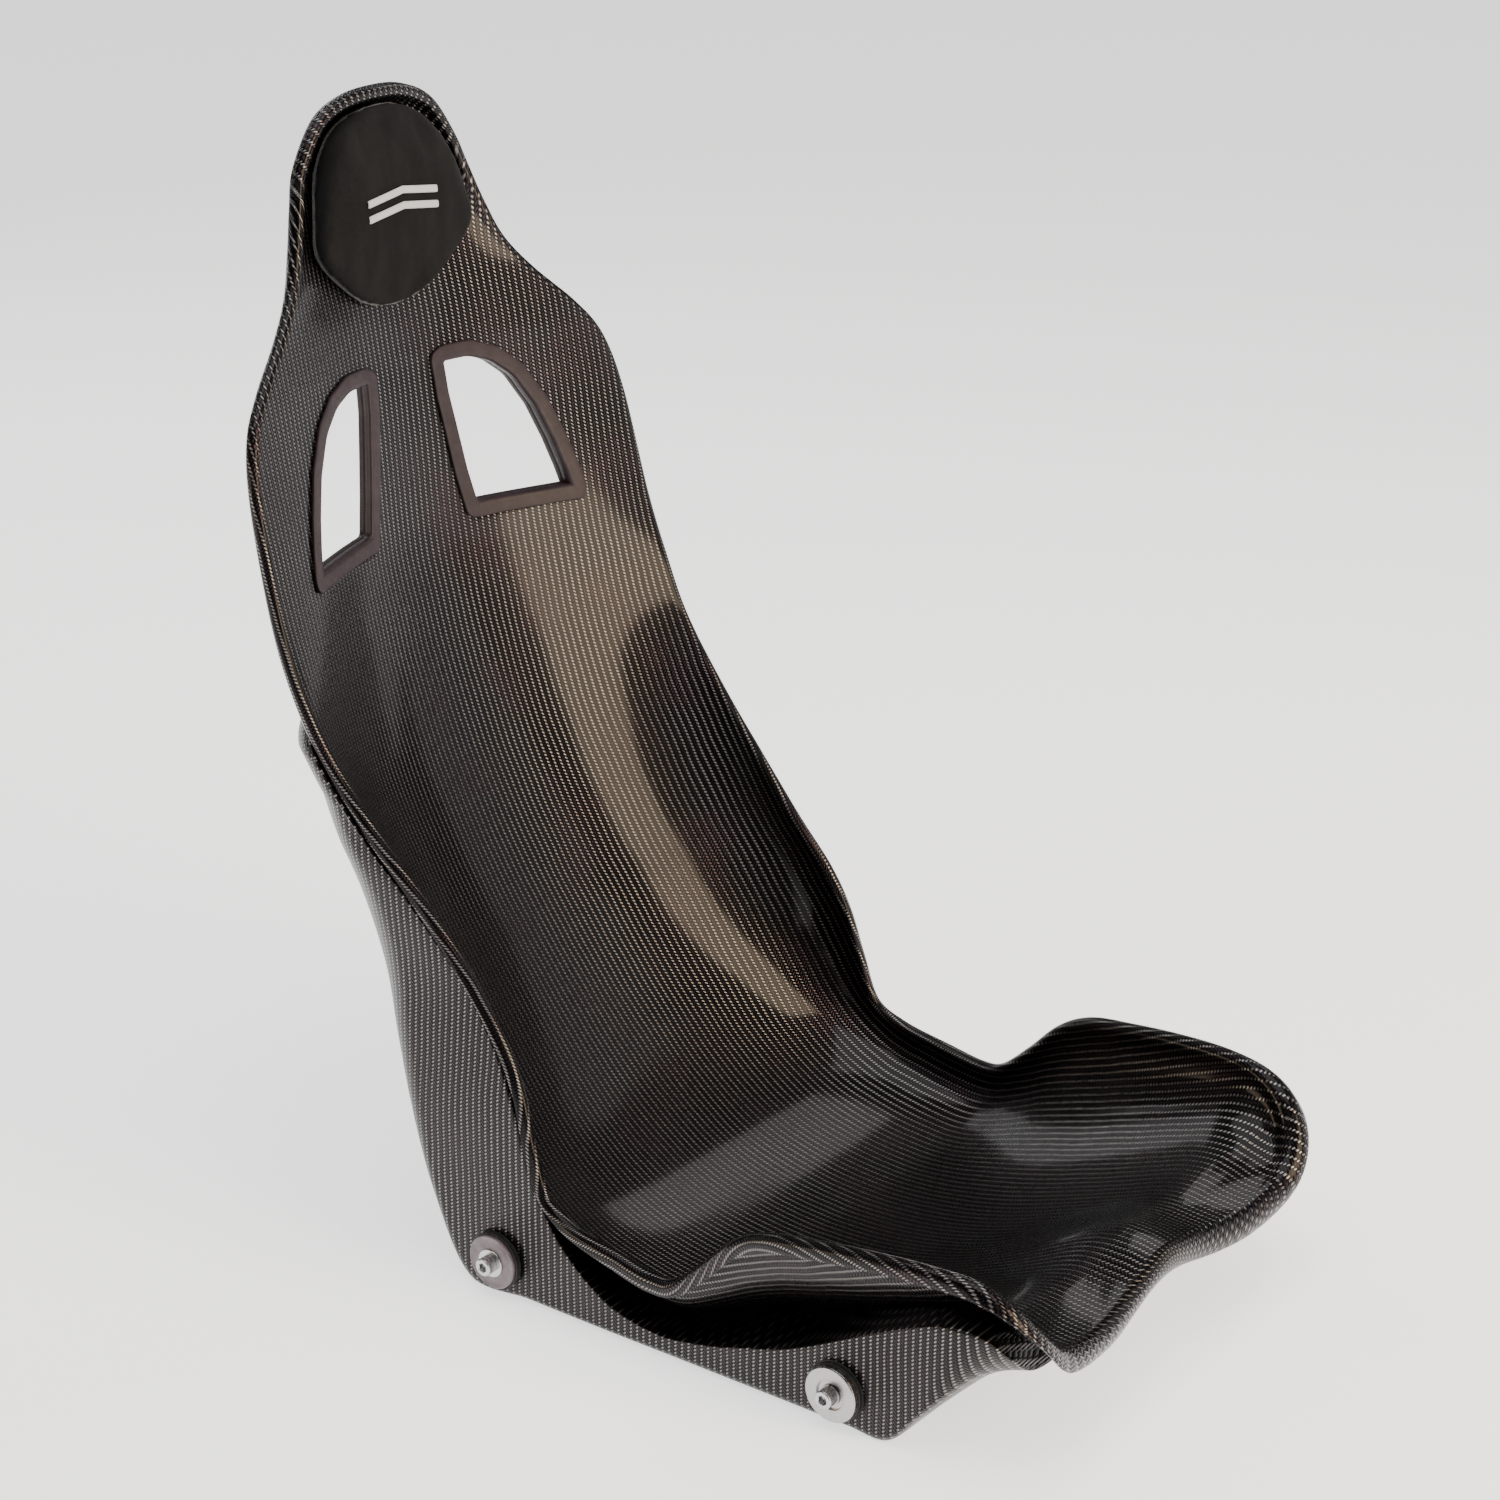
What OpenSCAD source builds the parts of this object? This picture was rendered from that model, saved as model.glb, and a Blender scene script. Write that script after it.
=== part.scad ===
// Fixed-back racing seat: carbon bucket, bonded rear shell, head pad, harness slot trims, side mounts
// Millimetres, +Z up, the seat faces -Y, the floor is z = 0, the bucket is symmetric about x = 0

/* [Overall] */
// Height from the floor to the crown of the rolled rim
seat_height = 790; // [640:1:960]
// Width across the two flat side mounting panels
seat_width = 402; // [330:1:490]
// Length from the front lip to the back of the head
seat_length = 716; // [590:1:860]

/* [Laminate] */
// Thickness of each carbon skin
skin = 2; // [1.5:0.1:3]
// Radius of the rolled-over rim along the back
rim_radius = 5; // [4:0.5:8]
// Radius of the rolled-over front lip
lip_radius = 12; // [8:0.5:15]
// Gap between the front skin and the rear skin behind the shoulders
skin_gap = 4; // [2.5:0.5:10]
// Height of the smooth rise between the two leg troughs
pommel_height = 14; // [0:1:30]

/* [Harness slots] */
// Width of the plastic trim around a harness slot
trim_width = 12; // [9:0.5:16]
// How proud the trim stands of the carbon
trim_height = 2.6; // [1.5:0.1:4]
// Wall of the sleeve that lines the slot
sleeve_wall = 3; // [2:0.5:5]

/* [Head pad] */
// Thickness of the pad at its middle
pad_thickness = 29; // [15:1:45]
// Thickness of the suede cover
cover_thickness = 1.6; // [1:0.1:3]
// Thickness of the stiff backing board
board_thickness = 2; // [1:0.5:4]
// Thickness of one hook or loop strip
strip_thickness = 1.3; // [0.8:0.1:2]

/* [Side mounts] */
// Distance between the front and the rear mounting screw
bolt_spacing = 290; // [200:1:330]
// Height of the screws above the bottom edge
bolt_height = 27.5; // [24:0.5:45]
// Nominal screw size
screw_d = 8; // [6:1:10]
// Outside diameter of the mounting discs
disc_d = 40; // [32:1:44]
// Thickness of the rubber under the rear discs
rear_rubber = 5; // [2:0.5:8]
// Thickness of the rubber under the front discs
front_rubber = 2.5; // [1:0.5:6]

/* [Hidden] */
$fn = 48;
e = 0.01;
kx = seat_width / 402;
ky = seat_length / 716;
kz = seat_height / 790;
half = seat_width / 2;
fit = 0.3;              // clearance between pieces that come apart
bond = 0.15;            // glue line between bonded pieces
rows = 74;              // lengthwise steps of the bucket surface
cols = 7;               // steps from the middle line to the rim
curl = 4;               // steps round the rolled rim

// Stations from the crown, down one side, to the middle of the front lip:
// rim x y z, middle line y z, first handle y z, handle ratios across, wall x, wall y, wall z
stations = [
    [0, 405, 780, 423, 748, 1, 14, .50, 1.00, .25, .85],
    [30, 406, 777, 423, 746, 1, 12, .50, 1.00, .25, .85],
    [54, 406, 766, 422, 741, 1, 8, .50, 1.00, .28, .75],
    [74, 404, 739, 420, 731, 0, 2, .50, .95, .35, .60],
    [83, 399, 716, 416, 714, 0, 0, .45, .92, .40, .50],
    [94, 392, 688, 410, 688, 0, 0, .42, .88, .42, .50],
    [109, 384, 660, 405, 660, 0, 0, .40, .80, .50, .50],
    [133, 374, 634, 399, 634, 0, 0, .36, .72, .60, .50],
    [165, 362, 605, 394, 605, 0, 0, .333, .667, .68, .5],
    [185, 353, 578, 390, 578, 0, 0, .333, .667, .70, .5],
    [195, 342, 535, 386, 535, 0, 0, .333, .667, .70, .5],
    [199, 324, 460, 380, 460, 0, 0, .333, .667, .70, .5],
    [199, 307, 412, 369, 412, 0, 0, .36, .72, .64, .5],
    [195, 285, 367, 355, 366, 0, 0, .42, .80, .56, .5],
    [190, 250, 318, 336, 316, 0, 0, .50, .90, .50, .5],
    [185, 210, 271, 312, 267, 0, 0, .56, .96, .48, .5],
    [184, 172, 224, 283, 218, 0, 0, .60, 1.0, .48, .5],
    [187, 144, 188, 256, 180, 0, 0, .62, 1.0, .50, .5],
    [189, 128, 158, 231, 147, 0, 0, .64, 1.0, .50, .5],
    [192, 117, 122, 199, 109, 0, 0, .68, 1.0, .50, .5],
    [193, 103, 86, 158, 68, 0, 0, .78, 1.0, .50, .5],
    [195, 78, 71, 108, 34, 0, 0, .86, 1.0, .50, .5],
    [195, 40, 62.5, 56, 18, 0, 0, .90, 1.0, .50, .5],
    [195, 6, 56.5, 14, 13, 0, 0, .92, 1.0, .50, .5],
    [195, -16, 60.5, -10, 12.5, 0, 0, .91, 1.0, .50, .5],
    [195, -42, 83, -36, 14, 0, 0, .88, 1.0, .50, .5],
    [196, -66, 107, -60, 17, 0, 0, .84, 1.0, .50, .5],
    [196, -90, 119.5, -86, 22, 0, 0, .80, 1.0, .50, .5],
    [194, -122, 124.5, -117, 31, 0, 0, .77, 1.01, .50, .5],
    [191, -165, 129, -154, 44, 0, 0, .74, 1.02, .50, .5],
    [187, -208, 131, -190, 58, 0, 0, .70, 1.02, .50, .5],
    [181, -237, 128, -212, 67, -1, 1, .66, 1.02, .55, .5],
    [175, -256, 116, -226, 72, -2, 1, .62, 1.03, .60, .5],
    [165, -268, 97, -235, 74, -3, 1, .58, 1.03, .65, .5],
    [143, -275, 81, -240, 75, -4, 0, .52, 1.00, .65, .5],
    [105, -276, 75, -243, 75, -6, 0, .42, .90, .65, .5],
    [58, -271, 74, -245, 75, -8, 0, .36, .75, .65, .5],
    [0, -268, 72, -246, 75, -9, 0, .33, .60, .65, .5]
];

// Rear shell at the same stations, used below the shoulders:
// seam x y z, middle line y z, corner radius, corner lift, share of box, corner pull forwards
box_first = 11;
box = [
    [204, 328, 459, 390, 460, 90, 0, 0, 0],
    [201, 319, 411, 379, 412, 90, 0, .25, 16],
    [204.5, 297, 367, 366, 366, 80, 0, 1, 22],
    [201, 259, 318, 347, 318, 64, 0, 1, 29],
    [196, 216, 271, 325, 267, 50, 0, 1, 39],
    [192, 176, 224, 297, 214, 38, 0, 1, 32],
    [195, 148, 188, 272, 166, 30, 0, 1, 21],
    [199, 132, 158, 246, 118, 24, 0, 1, 11],
    [201, 120, 122, 216, 57, 16, 0, 1, 4],
    [201, 106, 85, 177, 0, 11, 0, 1, 0],
    [201, 84, 52, 122, 0, 9, 0, 1, 0],
    [201, 46, 24, 62, 0, 8, 0, 1, 0],
    [201, 6, 16, 14, 0, 8, 0, 1, 0],
    [201, -17, 18, -12, 0, 8, 0, 1, 0],
    [201, -45, 24, -38, 0, 8, 0, 1, 0],
    [201, -70, 32, -64, 0, 8, 0, 1, 0],
    [201, -95, 40, -90, 0, 8, 0, 1, 0],
    [201, -126, 54, -118, 0, 8, 0, 1, 0],
    [201, -170, 78, -152, 0, 8, 0, 1, 0],
    [201, -212, 98, -182, 0, 9, 0, 1, 0],
    [200, -238, 104, -205, 18, 11, 6, 1, 0],
    [193, -255, 98, -222, 32, 14, 10, 1, 0],
    [179, -265, 82, -234, 41, 20, 12, 1, 0],
    [158, -268, 66, -243, 47, 30, 8, 1, 0],
    [118, -266, 60, -248, 50, 40, 3, 1, 0],
    [66, -262, 60, -251, 51, 50, 0, 1, 0],
    [0, -260, 60, -253, 52, 50, 0, 1, 0]
];

// Smooth curve through the rows of a table, mirrored at both ends of the loop
last = len(stations) - 1;
function flip(r) = [for (i = [0:len(r) - 1]) i == 0 ? -r[i] : r[i]];
function station(k) = k < 0 ? flip(stations[-k])
    : k > last ? flip(stations[2 * last - k]) : stations[k];
function box_station(k) = k > last ? flip(box[2 * last - k - box_first])
    : box[max(k - box_first, 0)];
function blend4(a, b, c, d, f) =
    0.5 * (2 * b + (c - a) * f + (2 * a - 5 * b + 4 * c - d) * f * f
    + (3 * b - a - 3 * c + d) * f * f * f);
function at(u) = let (k = floor(u)) blend4(
    station(k - 1), station(k), station(k + 1), station(k + 2), u - k);
function box_at(u) = let (k = floor(u)) blend4(
    box_station(k - 1), box_station(k), box_station(k + 1), box_station(k + 2), u - k);

function ease(v) = let (w = min(max(v, 0), 1)) w * w * (3 - 2 * w);
function unit(v) = v / max(norm(v), 1e-9);
function mix(a, b, k) = a * (1 - k) + b * k;
function sized(p) = [kx * p[0], ky * p[1], kz * p[2]];

// Leg-trough divider, a smooth hump added to every point near the lip
function hump(p) = [0, 0, pommel_height * exp(-pow(p[0] / (45 * kx), 2))
    * ease((-p[1] / ky - 110) / 130)];

// Control points of one cross curve: middle line, first handle, wall handle, rim
function rim_of(r) = sized([r[0], r[1], r[2]]);
function mid_of(r) = sized([0, r[3], r[4]]);
function wall_of(r) = sized([r[8] * r[0], r[3] + r[9] * (r[1] - r[3]), r[4] + r[10] * (r[2] - r[4])]);
function base_of(r) = sized([r[7] * r[0], r[3] + r[5], r[4] + r[6]]);
function across(r, t) = let (s = 1 - t)
    s * s * s * mid_of(r) + 3 * s * s * t * base_of(r)
    + 3 * s * t * t * wall_of(r) + t * t * t * rim_of(r);

// Unit normal of the bucket towards the driver
h = 0.02;
function facing(u, t) = let (
    q = max(t, 0.02),
    n = cross(across(at(u + h), q) - across(at(u - h), q),
              across(at(u), q + h) - across(at(u), q - h)))
    t < 0.01 ? unit([0, n[1], n[2]]) : unit(n);

// Rim frame: along, outwards past the edge, outwards behind the edge
function rim_frame(u) = let (
    along = unit(rim_of(at(u + h)) - rim_of(at(u - h))),
    raw = rim_of(at(u)) - wall_of(at(u)),
    past = unit(raw - (raw * along) * along))
    [along, past, cross(past, along)];
function roll_radius(u) = rim_radius + 1.5 * ease((u - 20) / 3)
    + (lip_radius - rim_radius - 1.5) * ease((u - last + 7) / 4);
function roll_angle(u) = 155 + 25 * ease((u - 20) / 3) - 72 * ease((u - last + 7) / 4);
function roll_end(u) = 3.5 + 1.5 * ease((u - 20) / 3) - 3 * ease((u - last + 7) / 4);

// Point of the front shell: j counts columns from the middle, d is depth into the skin
function shell_point(u, j, d) =
    j <= cols ? let (t = j / cols, n = j == cols ? -rim_frame(u)[2] : facing(u, t),
        p = across(at(u), t) - d * n) p + hump(p)
    : let (f = rim_frame(u), r = roll_radius(u),
        a = roll_angle(u) * min((j - cols) / curl, 1),
        tail = j > cols + curl ? roll_end(u) : 0,
        p = rim_of(at(u)) + r * f[2] + (r - d) * (sin(a) * f[1] - cos(a) * f[2])
            + tail * (cos(a) * f[1] + sin(a) * f[2])) p + hump(p);

// Point of the rear shell: the bucket moved back, turning into a box low down
function box_path(q, t) = let (
    seam = sized([q[0], q[1], q[2]]), low = sized([0, q[3], q[4]]),
    rise = [0, seam[1] - low[1], seam[2] - low[2]], tall = max(norm(rise), 1),
    up = rise / tall, wide = half * min(max(q[0] / 199.5, 0), 1),
    r = max(min(q[5], 0.9 * wide, 0.85 * tall), 0.2),
    w = t < 0.35 ? [t / 0.35 * (wide - r), 0]
        : t < 0.65 ? let (a = (t - 0.35) / 0.3 * 90)
            [wide - r + r * sin(a), r - r * cos(a)]
        : [wide, mix(r, tall, (t - 0.65) / 0.35)],
    lean = t < 0.65 ? 0 : pow((t - 0.65) / 0.35, 2))
    low + [w[0] - lean * (wide - seam[0]), 0, 0] + w[1] * up
    + [0, -ky * q[8], kz * q[6]] * pow(min(w[0] / max(wide, 1), 1), 2) * (1 - pow(w[1] / tall, 2));
function rear_surface(u, t) = let (
    q = box_at(u), k = u < box_first ? 0 : min(max(q[7], 0), 1),
    back = skin + skin_gap + skin,
    depth = mix(back, 2 * skin + bond, ease((t - 0.75) / 0.25)),
    a = k > 0.999 ? [0, 0, 0] : across(at(u), t * 0.985) - depth * facing(u, t * 0.985),
    b = k < 0.001 ? [0, 0, 0] : box_path(q, t),
    p = mix(a, b, k), o = p + hump(p) * (1 - k)) [o[0], o[1], max(o[2], 0)];
function rear_facing(u, t) = let (
    q = min(max(t, 0.03), 0.97),
    n = cross(rear_surface(u + h, q) - rear_surface(u - h, q),
              rear_surface(u, q + h) - rear_surface(u, q - h)))
    t < 0.01 ? unit([0, n[1], n[2]]) : unit(n);
rear_cols = cols + 3;
function rear_point(u, j, d) = let (t = j / rear_cols) rear_surface(u, t) + d * rear_facing(u, t);

// Closed skin from two layers of points; each layer has a row per step and a column per side step
module closed_skin(outer, inner, open = false) {
    n = len(outer) - 1;
    m = len(outer[0]) - 1;
    w = 2 * m + 1;
    function shut(i) = i == 0 || (i == n && !open);
    function full(layer) = [for (i = [0:n]) for (j = [-m:m])
        let (p = layer[i][abs(j)]) [shut(i) ? 0 : sign(j) * p[0], p[1], p[2]]];
    function id(i, j, side) = side * (n + 1) * w
        + i * w + m + (shut(i) ? abs(j) : j);
    function sheet(side) = [for (i = [0:n - 1]) for (j = [-m:m - 1])
        let (a = id(i, j, side), b = id(i, j + 1, side),
             c = id(i + 1, j + 1, side), d = id(i + 1, j, side))
        each side == 0 ? [if (a != b) [a, b, c], if (c != d) [a, c, d]]
            : [if (a != b) [a, c, b], if (c != d) [a, d, c]]];
    edge = [for (i = [0:n - 1]) for (s = [-1, 1])
        let (a = id(i, s * m, 0), b = id(i + 1, s * m, 0),
             c = id(i + 1, s * m, 1), d = id(i, s * m, 1))
        each s > 0 ? [[a, d, c], [a, c, b]] : [[a, c, d], [a, b, c]]];
    end = [if (open) for (j = [-m:m - 1])
        let (a = id(n, j, 0), b = id(n, j + 1, 0), c = id(n, j + 1, 1), d = id(n, j, 1))
        each [[a, b, c], [a, c, d]]];
    polyhedron(points = concat(full(outer), full(inner)),
        faces = concat(sheet(0), sheet(1), edge, end), convexity = 12);
}

// Solid slab on the bucket's own grid between two heights above it, on the +X side
function raised(i, j, d) = let (u = last * i / rows, t = j / cols) across(at(u), t) + d * facing(u, t);
module slab(i0, i1, j1, low, high) {
    w = j1 + 1;
    n = i1 - i0;
    function id(i, j, s) = (s * (n + 1) + i) * w + j;
    polyhedron(points = [for (s = [0, 1]) for (i = [0:n]) for (j = [0:j1])
            raised(i0 + i, j, s == 0 ? high : low)],
        faces = concat(
            [for (i = [0:n - 1]) for (j = [0:j1 - 1])
                each [[id(i, j, 0), id(i, j + 1, 0), id(i + 1, j + 1, 0)],
                      [id(i, j, 0), id(i + 1, j + 1, 0), id(i + 1, j, 0)],
                      [id(i, j, 1), id(i + 1, j + 1, 1), id(i, j + 1, 1)],
                      [id(i, j, 1), id(i + 1, j, 1), id(i + 1, j + 1, 1)]]],
            [for (i = [0:n - 1]) each [
                [id(i, j1, 0), id(i, j1, 1), id(i + 1, j1, 1)],
                [id(i, j1, 0), id(i + 1, j1, 1), id(i + 1, j1, 0)],
                [id(i, 0, 0), id(i + 1, 0, 0), id(i + 1, 0, 1)],
                [id(i, 0, 0), id(i + 1, 0, 1), id(i, 0, 1)]]],
            [for (j = [0:j1 - 1]) each [
                [id(0, j, 0), id(0, j, 1), id(0, j + 1, 1)],
                [id(0, j, 0), id(0, j + 1, 1), id(0, j + 1, 0)],
                [id(n, j, 0), id(n, j + 1, 0), id(n, j + 1, 1)],
                [id(n, j, 0), id(n, j + 1, 1), id(n, j, 1)]]]),
        convexity = 8);
}

// Outline of a harness slot trim seen from the front, grown or shrunk by a margin
module slot_outline(margin) {
    scale([kx, kz]) offset(r = margin) offset(r = 9) offset(r = -9)
        polygon([[49, 464], [146, 463], [149, 472], [145, 490], [138, 514], [127, 543],
                 [110, 571], [89, 588], [66, 596], [40, 596], [29, 590], [31, 560], [41, 500]], $fn = 24);
}
module slot_prism(margin) {
    translate([0, seat_length, 0]) rotate([90, 0, 0])
        linear_extrude(height = seat_length) slot_outline(margin);
}
module both_slots(margin) {
    slot_prism(margin);
    mirror([1, 0, 0]) slot_prism(margin);
}
module slot_slab(low, high) { slab(floor(7 * rows / last), ceil(12 * rows / last), cols, low, high); }

// Outline of the head pad seen from the front
half_pad = [[0, 779], [14, 778], [31, 773], [46, 764], [57, 751], [65, 737], [72, 719], [77, 703],
    [81, 691], [80, 682], [74, 672], [65, 663], [56, 655], [46, 647], [36, 640], [22, 635], [0, 632]];
module pad_outline(margin) {
    n = len(half_pad) - 1;
    offset(r = margin, $fn = 24) polygon([for (s = [1, -1]) for (i = [0:n])
        let (p = half_pad[s > 0 ? i : n - i]) if (s > 0 || (i > 0 && i < n)) [s * kx * p[0], kz * p[1]]]);
}
module pad_prism(margin) {
    translate([0, ky * 440, 0]) rotate([90, 0, 0]) linear_extrude(height = ky * 440) pad_outline(margin);
}
// Layer over the head section across both sides of the middle line
module head_layer(low, high) {
    n = ceil(8 * rows / last);
    closed_skin([for (i = [0:n]) [for (j = [0:cols]) raised(i, j, high)]],
                [for (i = [0:n]) [for (j = [0:cols]) raised(i, j, low)]], true);
}
// Front of the pad, one long arc over the whole width
pad_bend = 263 * kz;
module pad_front(depth) {
    translate([-half, ky * 411 - pad_thickness + pad_bend, kz * 690]) rotate([0, 90, 0])
        cylinder(r = pad_bend - depth, h = 2 * half, $fn = 240);
}
module pad_bulk(inset, depth, low) {
    difference() {
        intersection() {
            pad_front(depth);
            pad_prism(-inset);
        }
        head_layer(-60, low);
    }
}

// ---- side mounts ----
panel_length = ky * 351;
spacing = min(bolt_spacing, 0.83 * panel_length);
bolt_x = half;
front_y = -spacing / 2;
rear_y = spacing / 2;
head_d = 1.625 * screw_d;
head_h = screw_d;
hole_d = screw_d + 0.4;
seal_t = 1;
front_disc_t = 4.5;
front_recess = 1.8;
spring_t = 2;
rear_disc_t = 2.5;
penny_d = 2.6 * screw_d;
penny_t = 1.6;
insert_body = 1.75 * screw_d;
insert_flange = min(34, 2 * (bolt_height - skin - 8));
insert_length = 16;

front_seat = seal_t + front_rubber + front_disc_t - front_recess + spring_t;
rear_seat = rear_rubber + rear_disc_t + penny_t;

// A copy on each side at one end, local +Z pointing outwards from the panel face
module at_mounts(y) {
    for (s = [-1, 1])
        translate([s * (bolt_x + bond), y, bolt_height]) rotate([0, s * 90, 0]) children();
}
module ring(d, hole, t) {
    difference() {
        cylinder(d = d, h = t);
        translate([0, 0, -1]) cylinder(d = hole, h = t + 2);
    }
}
module screw(seat) {
    difference() {
        union() {
            translate([0, 0, seat]) cylinder(d = head_d, h = head_h - 0.6);
            translate([0, 0, seat + head_h - 0.6]) cylinder(d1 = head_d, d2 = head_d - 1.2, h = 0.6);
            translate([0, 0, -insert_length - 1]) cylinder(d = screw_d, h = seat + insert_length + 1 + e);
        }
        translate([0, 0, seat + head_h / 2]) cylinder(d = 0.866 * screw_d, h = head_h, $fn = 6);
    }
}
module insert() {
    difference() {
        union() {
            translate([0, 0, -insert_length]) cylinder(d = insert_body, h = insert_length);
            translate([0, 0, -skin - 2 * bond - 2.5]) cylinder(d = insert_flange, h = 2.5);
        }
        translate([0, 0, -insert_length - 1]) cylinder(d = screw_d + 0.1, h = insert_length + 2);
    }
}

// ---- nodes ----
module front_skin(grow) {
    m = cols + curl + 1;
    closed_skin([for (i = [0:rows]) [for (j = [0:m]) shell_point(last * i / rows, j, -grow)]],
                [for (i = [0:rows]) [for (j = [0:m]) shell_point(last * i / rows, j, skin + grow)]]);
}
module front_shell() {
    color([0.10, 0.10, 0.11]) resize([0, 0, 0]) difference() {
        front_skin(0);
        both_slots(0.3 - trim_width + sleeve_wall);
    }
}
module rear_shell() {
    color([0.14, 0.14, 0.15]) difference() {
        resize([0, 0, 0]) difference() {
            closed_skin([for (i = [0:rows]) [for (j = [0:rear_cols]) rear_point(last * i / rows, j, skin)]],
                        [for (i = [0:rows]) [for (j = [0:rear_cols]) rear_point(last * i / rows, j, 0)]]);
            both_slots(0.3 - trim_width + sleeve_wall);
            front_skin(0.05);
        }
        for (y = [front_y, rear_y]) at_mounts(y)
            translate([0, 0, -skin - 3]) cylinder(d = insert_body + 0.2, h = skin + 6);
    }
}

trim_back = skin + skin_gap + skin;
// Flange on one skin with a sleeve that reaches half way to the other skin
module trim_half(low, high, seat_low, seat_high) {
    resize([0, 0, 0]) difference() {
        intersection() {
            slot_slab(low, high);
            slot_prism(0);
        }
        slot_prism(-trim_width);
        difference() {
            slot_slab(seat_low, seat_high);
            slot_prism(sleeve_wall - trim_width);
        }
    }
}
module trim_front() { trim_half(0.1 - trim_back / 2, trim_height, -trim_back, 2 * bond); }
module trim_rear() { trim_half(-trim_back - trim_height, -trim_back / 2 - 0.1, -trim_back - 3 * bond, 0); }
module trim_front_left() { color([0.20, 0.15, 0.18]) trim_front(); }
module trim_front_right() { color([0.20, 0.15, 0.18]) mirror([1, 0, 0]) trim_front(); }
module trim_rear_left() { color([0.20, 0.15, 0.18]) trim_rear(); }
module trim_rear_right() { color([0.20, 0.15, 0.18]) mirror([1, 0, 0]) trim_rear(); }

// Head pad layers, counted from the bucket surface towards the driver
hook_top = bond + strip_thickness;
loop_top = hook_top + fit + strip_thickness;
board_top = loop_top + board_thickness;
module strips(low, high) {
    resize([0, 0, 0]) intersection() {
        head_layer(low, high);
        for (z = [662, 700, 738])
            translate([-kx * 34, 0, kz * z - 11]) cube([kx * 68, seat_length, 22]);
    }
}
module hook_strips() { color([0.08, 0.08, 0.08]) strips(bond, hook_top); }
module loop_strips() { color([0.12, 0.12, 0.12]) strips(hook_top + fit, loop_top); }
module pad_board() {
    color([0.30, 0.30, 0.32]) resize([0, 0, 0]) intersection() {
        head_layer(loop_top, board_top);
        pad_prism(-cover_thickness - fit);
    }
}
module pad_foam() {
    color([0.75, 0.72, 0.62]) resize([0, 0, 0])
        pad_bulk(cover_thickness + fit, cover_thickness + fit, board_top + bond);
}
module pad_cover() {
    color([0.09, 0.09, 0.10]) resize([0, 0, 0]) difference() {
        pad_bulk(0, 0, loop_top + fit);
        intersection() {
            pad_front(cover_thickness);
            pad_prism(-cover_thickness);
        }
    }
}
module pad_badge() {
    color([0.90, 0.90, 0.90]) intersection() {
        difference() {
            pad_front(-0.9);
            pad_front(-0.05);
        }
        translate([0, ky * 500, kz * 712]) rotate([90, 0, 0]) linear_extrude(height = ky * 200)
            for (s = [0, 1]) translate([0, -7 + 11 * s]) polygon([[-kx * 36, -3], [0, 2], [kx * 36, -3],
                [kx * 36, 1.5], [0, 6.5], [-kx * 36, 1.5]]);
    }
}

module inserts() {
    color([0.72, 0.73, 0.75]) for (y = [front_y, rear_y]) at_mounts(y) insert();
}
module seal_washers() { color([0.05, 0.05, 0.05]) at_mounts(front_y) ring(disc_d + 4, hole_d, seal_t); }
module front_rubbers() {
    color([0.06, 0.06, 0.06]) at_mounts(front_y)
        translate([0, 0, seal_t]) ring(disc_d + 1.5, hole_d, front_rubber);
}
module front_discs() {
    color([0.80, 0.81, 0.83]) at_mounts(front_y) translate([0, 0, seal_t + front_rubber]) difference() {
        union() {
            cylinder(d = disc_d, h = front_disc_t - 0.8);
            translate([0, 0, front_disc_t - 0.8]) cylinder(d1 = disc_d, d2 = disc_d - 1.6, h = 0.8);
        }
        translate([0, 0, -1]) cylinder(d = hole_d, h = front_disc_t + 2);
        translate([0, 0, front_disc_t - front_recess]) cylinder(d = 2.65 * screw_d, h = front_disc_t);
    }
}
module spring_washers() {
    color([0.70, 0.71, 0.73]) at_mounts(front_y)
        translate([0, 0, front_seat - spring_t]) ring(1.85 * screw_d, hole_d, spring_t);
}
module rear_rubbers() { color([0.05, 0.05, 0.05]) at_mounts(rear_y) ring(disc_d + 3, hole_d, rear_rubber); }
module rear_discs() {
    color([0.36, 0.31, 0.34]) at_mounts(rear_y)
        translate([0, 0, rear_rubber]) ring(disc_d, hole_d, rear_disc_t);
}
module penny_washers() {
    color([0.78, 0.79, 0.80]) at_mounts(rear_y)
        translate([0, 0, rear_rubber + rear_disc_t]) ring(penny_d, hole_d, penny_t);
}
module front_screws() { color([0.82, 0.83, 0.85]) at_mounts(front_y) screw(front_seat); }
module rear_screws() { color([0.82, 0.83, 0.85]) at_mounts(rear_y) screw(rear_seat); }

front_shell();
rear_shell();
trim_front_left();
trim_front_right();
trim_rear_left();
trim_rear_right();
hook_strips();
loop_strips();
pad_board();
pad_foam();
pad_cover();
pad_badge();
inserts();
seal_washers();
front_rubbers();
front_discs();
spring_washers();
rear_rubbers();
rear_discs();
penny_washers();
front_screws();
rear_screws();
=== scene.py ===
import math
import bpy
import numpy as np
from mathutils import Matrix, Vector


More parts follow.
